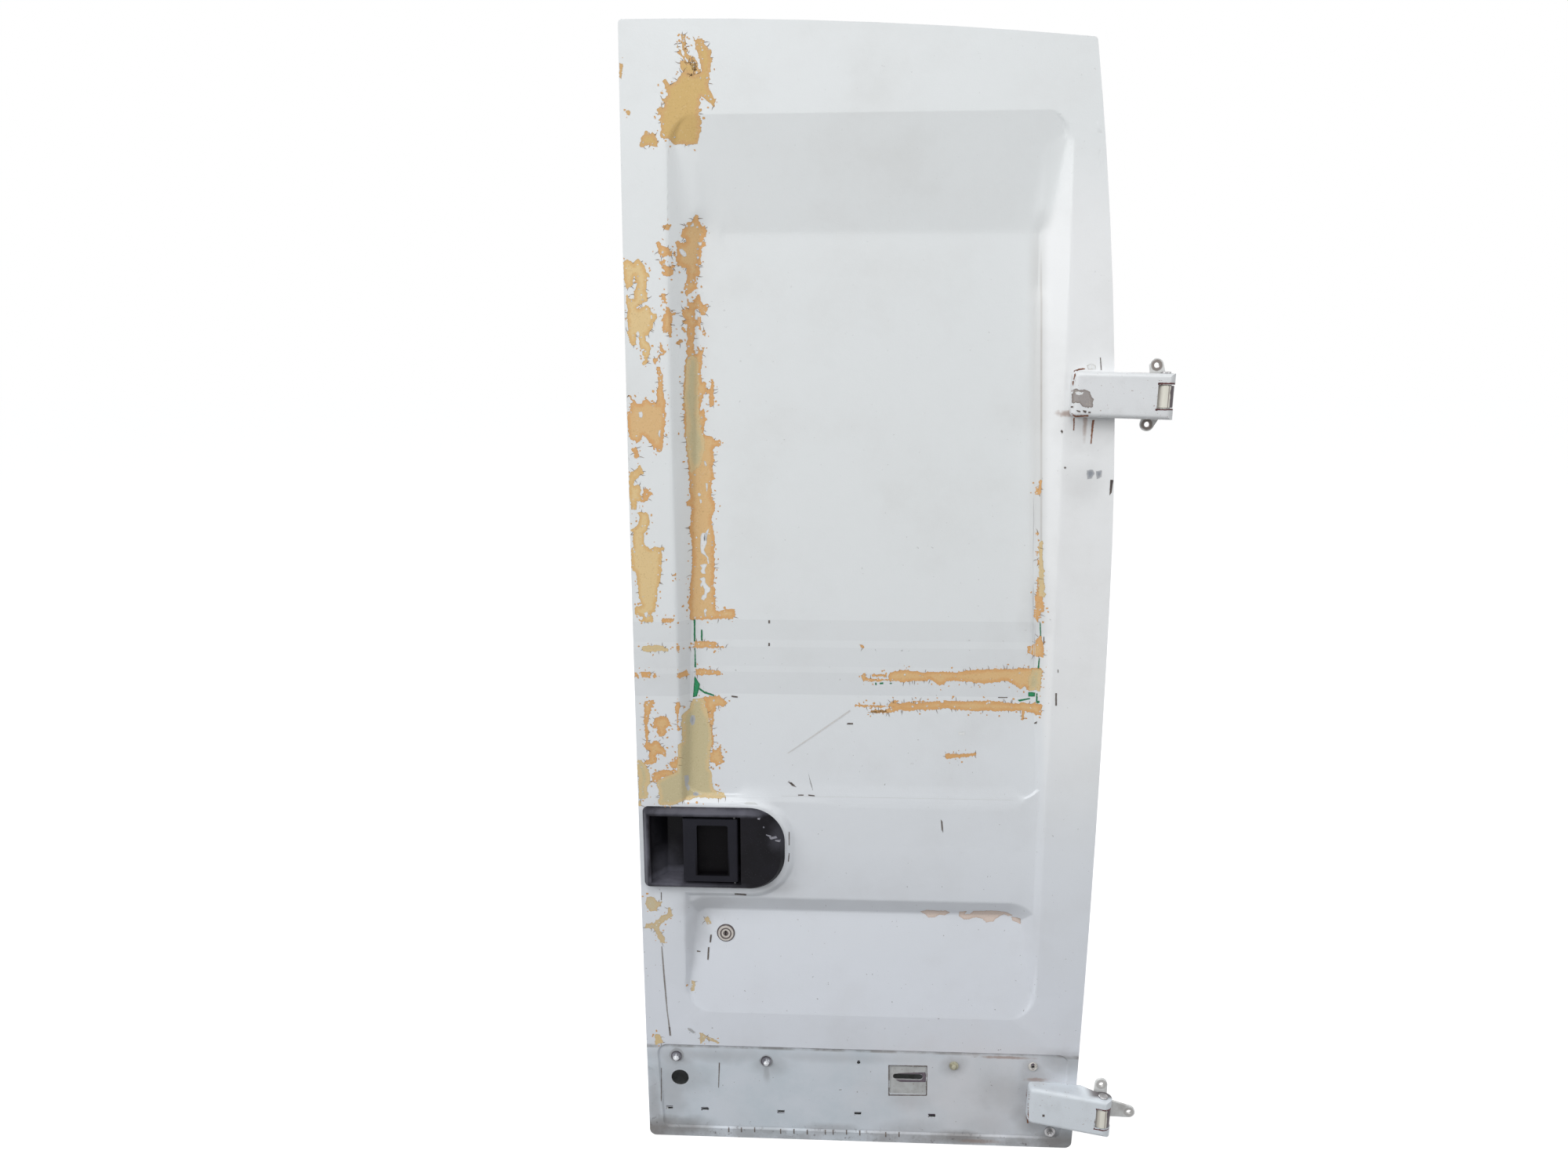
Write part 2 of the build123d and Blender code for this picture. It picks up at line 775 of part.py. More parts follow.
# Lock: a flanged barrel and a keyed plug, turned about the barrel's axis
lock_side = Plane(origin=lock_face.origin, x_dir=lock_face.x_dir, z_dir=lock_face.y_dir * -1)
lock_axis = Axis(lock_face.origin, lock_face.z_dir)
with BuildPart() as lock_barrel:
    bore_radius = lock_plug_radius + lock_plug_gap
    with BuildSketch(lock_side):
        with BuildLine():
            Polyline(
                (bore_radius, lock_flange_proud),
                (lock_flange_radius - lock_flange_proud, lock_flange_proud),
                (lock_flange_radius, sheet_gap),
                (lock_barrel_radius, sheet_gap),
                (lock_barrel_radius, -lock_barrel_length),
                (bore_radius, -lock_barrel_length),
                close=True,
            )
        make_face()
    revolve(axis=lock_axis)
write(lock_barrel, "lock_barrel")

with BuildPart() as lock_plug:
    with BuildSketch(lock_face.offset(lock_flange_proud - lock_plug_recess)):
        Circle(lock_plug_radius)
    extrude(amount=-lock_plug_length)
    with BuildSketch(lock_face.offset(lock_flange_proud)):
        RectangleRounded(key_slot_width, key_slot_height, key_slot_width / 3)
    extrude(amount=-key_slot_depth, mode=Mode.SUBTRACT)
write(lock_plug, "lock_plug")

# Latch: a case behind the free-edge wall with a mouth for the striker, and its fork
case_front = skin_depth(latch_v) + latch_front + latch_gap
case_back = skin_depth(latch_v) + latch_back
fork_depth = case_back - latch_mouth_depth + fork_radius / 2
fork_u = pan_inset + latch_width / 3
with BuildPart() as latch_case:
    with BuildSketch(side_plane(pan_inset - latch_nose)):
        with Locations(((case_front + case_back) / 2, latch_v)):
            RectangleRounded(case_back - case_front, latch_height, latch_gap * 4)
    extrude(amount=latch_width + latch_nose)
    with BuildSketch(side_plane(pan_inset - latch_nose)):
        with Locations((case_back, latch_v)):
            Rectangle(2 * latch_mouth_depth, latch_mouth)
    extrude(amount=latch_width, mode=Mode.SUBTRACT)
    with BuildSketch(side_plane(fork_u - latch_gap)):
        with Locations((fork_depth, latch_v)):
            Circle(fork_radius + latch_gap)
    extrude(amount=fork_thickness + 2 * latch_gap, mode=Mode.SUBTRACT)
write(latch_case, "latch_case")

with BuildPart() as latch_fork:
    with BuildSketch(side_plane(fork_u)):
        with Locations((fork_depth, latch_v)):
            Circle(fork_radius)
        with Locations((fork_depth + fork_radius, latch_v)):
            SlotOverall(2 * fork_radius + fork_slot, fork_slot, mode=Mode.SUBTRACT)
    extrude(amount=fork_thickness)
write(latch_fork, "latch_fork")

# Reinforcing plates behind the hinge arm roots, following the pressed skin
hinge_heights = {"upper": upper_pin_v, "lower": lower_pin_v}
for side, height in hinge_heights.items():
    with BuildPart() as hinge_plate:
        add(moved_in(pressed_mass.part, flange_front))
        add(moved_in(pressed_mass.part, flange_front + hinge_plate_gauge), mode=Mode.SUBTRACT)
        with BuildSketch(front_plane(-bow - overrun)):
            with Locations((hinge_hole_u, height)):
                RectangleRounded(hinge_plate_width, 2 * hinge_plate_half, crown_corner)
        extrude(amount=-(bow + overrun + far_back), mode=Mode.INTERSECT)
    write(hinge_plate, f"{side}_hinge_plate")

# Slotted plate behind the square cut-out of the strip
with BuildPart() as slot_plate:
    with BuildSketch(skin_plane(plate_cut_u, plate_cut_v, strip_depth + skin_gauge + sheet_gap)):
        RectangleRounded(plate_cut_width + 2 * plate_overlap, plate_cut_height + 2 * plate_overlap, plate_overlap)
        with Locations((0, plate_slot_lift)):
            SlotOverall(plate_slot_width, plate_slot_height, mode=Mode.SUBTRACT)
    extrude(amount=-skin_gauge)
write(slot_plate, "slot_plate")


def strip_face(u, v):
    return skin_plane(u, v, strip_depth - sheet_gap)


def hex_stud(u, v, label):
    """Washer, hexagon nut and the stud's rounded end, standing on the strip."""
    face = strip_face(u, v)
    with BuildPart() as stud:
        with BuildSketch(face):
            Circle(stud_washer_radius)
        extrude(amount=stud_washer_height)
        with BuildSketch(face.offset(stud_washer_height)):
            RegularPolygon(stud_nut_flats / 2, 6, major_radius=False)
        extrude(amount=stud_nut_height)
        with BuildSketch(face.offset(stud_washer_height + stud_nut_height)):
            Circle(stud_end_radius)
        extrude(amount=stud_end_height)
        chamfer(faces().sort_by(Axis.Y)[0].edges(), stud_end_radius / 4)
    write(stud, label)


for name, (u, v) in stud_places.items():
    hex_stud(u, v, name)
hex_stud(corner_bolt_u, corner_bolt_v, "corner_bolt")

with BuildPart() as foot_clip:
    with BuildSketch(strip_face(clip_u, clip_v)):
        Circle(clip_radius)
    extrude(amount=clip_height)
    with BuildSketch(strip_face(clip_u, clip_v).offset(clip_height)):
        Circle(clip_dome)
    extrude(amount=clip_dome)
    fillet(faces().sort_by(Axis.Y)[0].edges(), clip_dome / 2)
write(foot_clip, "foot_clip")

with BuildPart() as foot_grommet:
    with BuildSketch(strip_face(grommet_u, grommet_v)):
        Circle(grommet_radius)
        Circle(grommet_bore, mode=Mode.SUBTRACT)
    extrude(amount=grommet_height)
    fillet(faces().sort_by(Axis.Y)[0].outer_wire().edges(), grommet_height / 2)
write(foot_grommet, "foot_grommet")

# Hinges on one leaning axis
axis_lean = atan2(upper_pin_u - lower_pin_u, upper_pin_v - lower_pin_v)
pin_places = {"upper": (upper_pin_u, upper_pin_v), "lower": (lower_pin_u, lower_pin_v)}


def hinge_plane(side):
    """Plane square to the pin at the hinge's middle: x along the arm, y into the van."""
    u, v = pin_places[side]
    x, _, z = place(u, 0, v)
    return Plane(
        origin=(x, -pin_proud, z),
        x_dir=(cos(axis_lean), 0, -sin(axis_lean)),
        z_dir=(sin(axis_lean), 0, cos(axis_lean)),
    )


def make_arm(side):
    """Folded arm: a leaning channel, closed at its root and open round the knuckle."""
    u, v = pin_places[side]
    plane = hinge_plane(side)
    skin = pillar_step + skin_depth(v) + pin_proud
    root = leaf_width - arm_grips[side] - u
    edge = edge_u(v) - u
    buried = skin + arm_root_round
    root_corner = Vector(root, skin - arm_root_rise)
    # The front leaves the root corner and passes just inside the round nose
    front_gap = arm_nose - arm_nose_step
    front_angle = atan2(root_corner.Y, root) + acos(front_gap / root_corner.length)
    outward = Vector(cos(front_angle), sin(front_angle))
    front_end = outward * front_gap + (outward * front_gap - root_corner).normalized() * 2 * arm_nose

    def arm_trim(nose):
        """Side view that rounds the arm's end about the pin and cuts its back away."""
        nose_back = (-arm_nose_back, sqrt(nose**2 - arm_nose_back**2))
        with BuildSketch() as trim:
            with BuildLine():
                ThreePointArc(outward * nose, (nose, 0), nose_back)
                Polyline(
                    nose_back,
                    (edge - arm_root_round, buried),
                    (root - arm_nose, buried),
                    (root - arm_nose, -4 * arm_nose),
                    outward * 4 * arm_nose,
                    outward * nose,
                )
            make_face()
        return trim.sketch

    with BuildPart() as arm:
        with BuildSketch(plane) as channel:
            with BuildLine():
                front = FilletPolyline(front_end, root_corner, (root, buried), radius=arm_root_round)
                Polyline(front @ 1, (front_end.X, buried), front_end)
            make_face()
        extrude(amount=arm_half, both=True)
        folded = []
        for line in edges():
            middle = plane.to_local_coords(line @ 0.5)
            on_flat = abs(abs(middle.Z) - arm_half) < arm_seat_gap
            at_root = middle.X < root + arm_root_round
            in_front = middle.Y < skin / 2 and middle.X < arm_nose
            if on_flat and (at_root or in_front):
                folded.append(line)
        fillet(folded, arm_edge)
        with BuildSketch(plane):
            add(arm_trim(arm_nose))
        extrude(amount=2 * arm_half, both=True, mode=Mode.INTERSECT)
        with BuildSketch(plane):
            add(channel.sketch_local)
            offset(amount=-arm_wall, kind=Kind.INTERSECTION)
            add(arm_trim(arm_nose - arm_wall), mode=Mode.INTERSECT)
            with Locations((edge / 2, skin)):
                Rectangle(-edge, 2 * skin)
        extrude(amount=arm_half - arm_wall, both=True, mode=Mode.SUBTRACT)
        with BuildSketch(plane):
            with Locations((-arm_window_reach, 0)):
                Rectangle(2 * arm_nose + arm_window_reach, 4 * arm_nose, align=(Align.MIN, Align.CENTER))
        extrude(amount=arm_window_half, both=True, mode=Mode.SUBTRACT)
        with BuildSketch(plane):
            Circle(pin_radius + pin_fit)
        extrude(amount=arm_half, both=True, mode=Mode.SUBTRACT)
        add(moved_in(pressed_mass.part, -arm_seat_gap), mode=Mode.SUBTRACT)
    write(arm, f"{side}_hinge_arm")


def make_pin(side):
    plane = hinge_plane(side)
    with BuildPart() as pin:
        with BuildSketch(plane):
            Circle(pin_radius)
        extrude(amount=arm_half, both=True)
        with BuildSketch(plane.offset(arm_half + sheet_gap)):
            Circle(pin_head_radius)
        extrude(amount=pin_head_height)
        with BuildSketch(plane.offset(arm_half)):
            Circle(pin_radius)
        extrude(amount=sheet_gap)
        fillet(edges().sort_by(Axis.Z)[-1], pin_head_height / 2)
    write(pin, f"{side}_hinge_pin")


def make_bracket(side):
    """Pillar bracket: a cranked plate with two bolt ears, a neck, and a barrel thicker at its middle."""
    plane = hinge_plane(side)
    origin = plane.origin
    back = Plane(origin=(origin.X, 0, origin.Z), x_dir=(1, 0, 0), z_dir=(0, -1, 0))
    with BuildPart() as bracket:
        for ear in ears[side]:
            with BuildSketch(back):
                with Locations(ear):
                    Circle(ear_radius)
                Rectangle(2 * pad_half_width, 2 * pad_half_height)
                make_hull()
                with Locations(ear):
                    Circle(ear_hole_radius, mode=Mode.SUBTRACT)
            extrude(amount=bracket_thickness)
        with BuildSketch(plane):
            with Locations((0, (pin_proud - bracket_thickness / 2) / 2)):
                Rectangle(2 * neck_half_width, pin_proud - bracket_thickness / 2)
        extrude(amount=neck_half_height, both=True)
        for radius, half in ((barrel_radius, barrel_half), (knuckle_radius, knuckle_half)):
            with BuildSketch(plane):
                Circle(radius)
            extrude(amount=half, both=True)
        with BuildSketch(plane):
            Circle(pin_radius + pin_run)
        extrude(amount=barrel_half, both=True, mode=Mode.SUBTRACT)
    write(bracket, f"{side}_bracket")


for side in pin_places:
    make_arm(side)
    make_pin(side)
    make_bracket(side)
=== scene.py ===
import json
import math
import random
import bpy
import bmesh
from mathutils import Matrix, Vector, noise
from mathutils.bvhtree import BVHTree
from mathutils.geometry import delaunay_2d_cdt
from mathutils.kdtree import KDTree


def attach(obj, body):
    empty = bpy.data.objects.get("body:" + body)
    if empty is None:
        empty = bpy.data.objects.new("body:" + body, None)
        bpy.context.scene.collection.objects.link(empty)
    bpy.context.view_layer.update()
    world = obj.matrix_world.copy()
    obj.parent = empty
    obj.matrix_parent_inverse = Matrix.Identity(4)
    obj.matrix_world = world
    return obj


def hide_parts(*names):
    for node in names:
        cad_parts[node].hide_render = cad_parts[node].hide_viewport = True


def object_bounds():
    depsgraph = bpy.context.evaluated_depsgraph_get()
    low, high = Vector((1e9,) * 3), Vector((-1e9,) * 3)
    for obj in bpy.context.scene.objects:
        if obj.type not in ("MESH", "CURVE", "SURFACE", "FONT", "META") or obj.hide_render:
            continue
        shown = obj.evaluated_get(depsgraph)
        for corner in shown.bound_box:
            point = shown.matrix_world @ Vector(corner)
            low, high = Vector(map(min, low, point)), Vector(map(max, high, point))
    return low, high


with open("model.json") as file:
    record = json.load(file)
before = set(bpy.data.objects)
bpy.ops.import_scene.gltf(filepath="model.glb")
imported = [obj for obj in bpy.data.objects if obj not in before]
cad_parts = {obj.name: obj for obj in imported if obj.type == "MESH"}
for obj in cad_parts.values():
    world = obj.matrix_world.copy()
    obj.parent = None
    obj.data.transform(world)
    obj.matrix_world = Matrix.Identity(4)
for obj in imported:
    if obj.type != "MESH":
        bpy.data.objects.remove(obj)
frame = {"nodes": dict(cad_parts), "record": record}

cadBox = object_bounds()
scene = bpy.context.scene
scene.view_settings.view_transform = "Standard"
leafLeft, leafFoot = cadBox[0][0], cadBox[0][2]  # the leaf's free edge and its foot bound the part
print("frame loaded", [round(v, 3) for v in cadBox[0]], [round(v, 3) for v in cadBox[1]])


# places on the leaf are u mm from its free edge and v mm up from its foot
def onDoor(u, v):
    return leafLeft + u / 1000, leafFoot + v / 1000


def offDoor(co):
    return (co.x - leafLeft) * 1000, (co.z - leafFoot) * 1000


# camera, set from the door's own corners in the picture
cameraSet = {
    "place": (-0.4543, -1.8831, 1.3210),
    "yaw": -3.08,  # degrees, turned to the left
    "pitch": 11.65,  # degrees, looking down
    "roll": -0.17,
    "lens": 27.0,  # mm, on the sensor below
    "sensor": 36.0,
    "farthest": 60.0,
}


def makeCamera(s):
    yaw, pitch = math.radians(s["yaw"]), math.radians(s["pitch"])
    ahead = Vector((math.sin(yaw) * math.cos(pitch), math.cos(yaw) * math.cos(pitch), -math.sin(pitch)))
    data = bpy.data.cameras.new("photoCamera")
    data.lens = s["lens"]
    data.sensor_width = s["sensor"]
    data.clip_end = s["farthest"]
    camera = bpy.data.objects.new("photoCamera", data)
    turn = ahead.to_track_quat("-Z", "Y").to_matrix() @ Matrix.Rotation(math.radians(s["roll"]), 3, "Z")
    camera.matrix_world = Matrix.Translation(s["place"]) @ turn.to_4x4()
    scene.collection.objects.link(camera)
    scene.camera = camera


makeCamera(cameraSet)
print("camera set")


# node trees are put together with these few helpers
def addNode(tree, kind, inputs=None, **settings):
    made = tree.nodes.new(kind)
    for key, value in settings.items():
        setattr(made, key, value)
    for key, value in (inputs or {}).items():
        if isinstance(value, bpy.types.NodeSocket):
            tree.links.new(value, made.inputs[key])
        else:
            made.inputs[key].default_value = value
    return made


def tone(red, green, blue):
    linear = [((c / 255 + 0.055) / 1.055) ** 2.4 if c > 10 else c / 255 / 12.92 for c in (red, green, blue)]
    return (*linear, 1.0)


def blend(tree, mask, below, above):
    return addNode(tree, "ShaderNodeMix", {0: mask, 6: below, 7: above}, data_type="RGBA").outputs[2]


def sums(tree, operation, first, second, third=None):
    inputs = {0: first, 1: second}
    if third is not None:
        inputs[2] = third
    return addNode(tree, "ShaderNodeMath", inputs, operation=operation).outputs[0]


def times(tree, first, *others):
    for other in others:
        first = sums(tree, "MULTIPLY", first, other)
    return first


def scaled(tree, value, factor, added):
    return sums(tree, "MULTIPLY_ADD", value, factor, added)


def most(tree, first, *others):
    for other in others:
        first = sums(tree, "MAXIMUM", first, other)
    return first


def ramp(tree, value, low, high, first=0.0, last=1.0):
    inputs = {"Value": value, "From Min": low, "From Max": high, "To Min": first, "To Max": last}
    return addNode(tree, "ShaderNodeMapRange", inputs, interpolation_type="SMOOTHSTEP").outputs[0]


# full from the second value to the third, none before the first and after the last
def between(tree, value, none, full, fullEnd, noneEnd):
    return times(tree, ramp(tree, value, none, full), ramp(tree, value, noneEnd, fullEnd))


# full within the inner distance of the centre, none past the outer one
def near(tree, value, centre, outer, inner):
    away = sums(tree, "ABSOLUTE", sums(tree, "SUBTRACT", value, centre), 0.0)
    return ramp(tree, away, outer, inner)


def speckle(tree, point, scale, detail, roughness=0.5):
    inputs = {"Vector": point, "Scale": scale, "Detail": detail, "Roughness": roughness}
    return addNode(tree, "ShaderNodeTexNoise", inputs).outputs[0]


def stain(tree, colour, mask, share, over):
    return blend(tree, times(tree, mask, share), colour, over)


def vectors(tree, operation, first, second, output=0):
    return addNode(tree, "ShaderNodeVectorMath", {0: first, 1: second}, operation=operation).outputs[output]


# distance from a line along Y
def flatDistance(tree, point, x, z):
    return vectors(tree, "DISTANCE", vectors(tree, "MULTIPLY", point, (1, 0, 1)), (x, 0, z), "Value")


def axesOf(tree, point):
    return addNode(tree, "ShaderNodeSeparateXYZ", {0: point}).outputs


# studio: white surround, pale floor, soft lamps
studioSet = {
    "middle": -0.4,  # X below the middle of the door
    "floorHeight": -0.0975,
    "floorSize": 60.0,
    "floorColour": 0.28,
    "floorLift": 0.905,  # what the floor shows the camera beyond its own light
    "surround": 0.345,  # light from all round
    "surroundColour": (0.95, 0.98, 1.0, 1),
    "lamps": [
        # name, place, aimed at, size, power
        ("leftLamp", (-5.0, -3.4, 3.2), (-0.4, 0.0, 0.7), 3.2, 158.0),
        ("rightLamp", (4.2, -3.8, 1.8), (-0.3, 0.0, 0.9), 3.0, 50.0),
        ("topLamp", (-0.5, -3.6, 5.6), (-0.4, 0.0, 0.7), 3.0, 130.0),
        ("backLamp", (-1.2, 4.8, 3.4), (-0.4, 0.0, 0.8), 3.2, 150.0),
    ],
}
white = (1, 1, 1, 1)


def seenRays(tree):
    path = addNode(tree, "ShaderNodeLightPath").outputs
    return most(tree, path["Is Camera Ray"], path["Is Glossy Ray"], path["Is Transmission Ray"])


def makeSurround(s):
    world = bpy.data.worlds.new("studioWorld")
    scene.world = world
    world.use_nodes = True
    tree = world.node_tree
    tree.nodes.clear()
    dim = addNode(tree, "ShaderNodeBackground", {"Color": s["surroundColour"], "Strength": s["surround"]})
    plain = addNode(tree, "ShaderNodeBackground", {"Color": white, "Strength": 1.0})
    mix = addNode(tree, "ShaderNodeMixShader", {0: seenRays(tree), 1: dim.outputs[0], 2: plain.outputs[0]})
    addNode(tree, "ShaderNodeOutputWorld", {"Surface": mix.outputs[0]})


def makeFloor(s):
    bm = bmesh.new()
    bmesh.ops.create_grid(bm, x_segments=1, y_segments=1, size=s["floorSize"] / 2)
    bmesh.ops.translate(bm, verts=bm.verts, vec=(s["middle"], 0, s["floorHeight"]))
    mesh = bpy.data.meshes.new("floor")
    bm.to_mesh(mesh)
    bm.free()
    floor = bpy.data.objects.new("floor", mesh)
    scene.collection.objects.link(floor)
    material = bpy.data.materials.new("paleFloor")
    material.use_nodes = True
    tree = material.node_tree
    tree.nodes.clear()
    matt = addNode(tree, "ShaderNodeBsdfDiffuse", {"Color": (*[s["floorColour"]] * 3, 1)})
    lift = times(tree, seenRays(tree), s["floorLift"])
    glow = addNode(tree, "ShaderNodeEmission", {"Color": white, "Strength": lift})
    both = addNode(tree, "ShaderNodeAddShader", {0: matt.outputs[0], 1: glow.outputs[0]})
    addNode(tree, "ShaderNodeOutputMaterial", {"Surface": both.outputs[0]})
    floor.data.materials.append(material)


def makeLamp(name, place, aim, size, power):
    data = bpy.data.lights.new(name, "AREA")
    data.shape = "DISK"
    data.size = size
    data.energy = power
    lamp = bpy.data.objects.new(name, data)
    lamp.location = place
    lamp.rotation_mode = "QUATERNION"
    lamp.rotation_quaternion = (Vector(aim) - Vector(place)).to_track_quat("-Z", "Y")
    scene.collection.objects.link(lamp)


makeSurround(studioSet)
makeFloor(studioSet)
for lampValues in studioSet["lamps"]:
    makeLamp(*lampValues)
print("studio set")


# effects that several finishes share
def newGroup(name, inputs, outputs):
    tree = bpy.data.node_groups.new(name, "ShaderNodeTree")
    for label, kind, value in inputs:
        socket = tree.interface.new_socket(name=label, in_out="INPUT", socket_type="NodeSocket" + kind)
        if value is not None:
            socket.default_value = value
    for label in outputs:
        tree.interface.new_socket(name=label, in_out="OUTPUT", socket_type="NodeSocketFloat")
    return tree, addNode(tree, "NodeGroupInput").outputs, addNode(tree, "NodeGroupOutput").inputs


def cloudGroup():
    tree, given, out = newGroup(
        "cloudyDirt",
        [("Point", "Vector", None), ("Scale", "Float", 8.0), ("Low", "Float", 0.45), ("High", "Float", 0.75)],
        ["Mask"],
    )
    cloud = speckle(tree, given["Point"], given["Scale"], 7.0, 0.62)
    tree.links.new(ramp(tree, cloud, given["Low"], given["High"]), out["Mask"])
    return tree


def spotGroup():
    tree, given, out = newGroup(
        "raggedSpot",
        [
            ("Point", "Vector", None),
            ("Place", "Vector", (0, 0, 0)),
            ("Size", "Vector", (0.01, 0.01, 0.01)),
            ("Soft", "Float", 0.5),
            ("Ragged", "Float", 0.5),
            ("Grain", "Float", 60.0),
        ],
        ["Mask"],
    )
    away = vectors(tree, "SUBTRACT", given["Point"], given["Place"])
    away = vectors(tree, "DIVIDE", away, given["Size"])
    reach = addNode(tree, "ShaderNodeVectorMath", {0: away}, operation="LENGTH").outputs["Value"]
    edge = speckle(tree, given["Point"], given["Grain"], 5.0)
    reach = scaled(tree, sums(tree, "SUBTRACT", edge, 0.5), given["Ragged"], reach)
    outer = sums(tree, "ADD", given["Soft"], 1.0)
    inner = sums(tree, "SUBTRACT", 1.0, given["Soft"])
    tree.links.new(ramp(tree, reach, outer, inner), out["Mask"])
    return tree


def rippleGroup():
    tree, given, out = newGroup("sprayedRipple", [("Point", "Vector", None)], ["Height"])
    ripple = speckle(tree, given["Point"], 420.0, 2.0)
    swell = speckle(tree, given["Point"], 26.0, 1.0)
    tree.links.new(scaled(tree, swell, 2.2, ripple), out["Height"])
    return tree


def grainGroup():
    inputs = [("Point", "Vector", None), ("Scale", "Float", 900.0)]
    tree, given, out = newGroup("mouldedGrain", inputs, ["Height", "Fleck"])
    places = {"Vector": given["Point"], "Scale": given["Scale"]}
    cells = addNode(tree, "ShaderNodeTexVoronoi", places, feature="SMOOTH_F1")
    tree.links.new(cells.outputs["Distance"], out["Height"])
    tree.links.new(ramp(tree, speckle(tree, given["Point"], 700.0, 3.0), 0.66, 0.74), out["Fleck"])
    return tree


cloudyDirt, raggedSpot, sprayedRipple, mouldedGrain = cloudGroup(), spotGroup(), rippleGroup(), grainGroup()


def useGroup(tree, group, output, **values):
    inputs = {key.capitalize(): value for key, value in values.items()}
    return addNode(tree, "ShaderNodeGroup", inputs, node_tree=group).outputs[output]


def clouds(tree, point, scale, low, high):
    return useGroup(tree, cloudyDirt, "Mask", point=point, scale=scale, low=low, high=high)


# spots are given as u, v, half width, half height, soft, strength
def spotMask(tree, point, spots, ragged, grain):
    masks = []
    for u, v, halfWidth, halfHeight, soft, strength in spots:
        x, z = onDoor(u, v)
        size = (halfWidth / 1000, 0.2, halfHeight / 1000)
        shape = {"place": (x, 0.0, z), "size": size, "soft": soft, "ragged": ragged, "grain": grain}
        masks.append(times(tree, useGroup(tree, raggedSpot, "Mask", point=point, **shape), strength))
    return most(tree, *masks)


def startMaterial(name):
    material = bpy.data.materials.new(name)
    material.use_nodes = True
    tree = material.node_tree
    point = addNode(tree, "ShaderNodeTexCoord").outputs["Object"]
    return material, tree, tree.nodes["Principled BSDF"], point


def coat(tree, shader, colour, roughness):
    tree.links.new(colour, shader.inputs["Base Color"])
    tree.links.new(roughness, shader.inputs["Roughness"])


def roughen(tree, shader, height, strength, distance):
    bump = addNode(tree, "ShaderNodeBump", {"Height": height, "Strength": strength, "Distance": distance})
    tree.links.new(bump.outputs[0], shader.inputs["Normal"])


def ripplePaint(tree, shader, point, strength, distance):
    roughen(tree, shader, useGroup(tree, sprayedRipple, "Height", point=point), strength, distance)


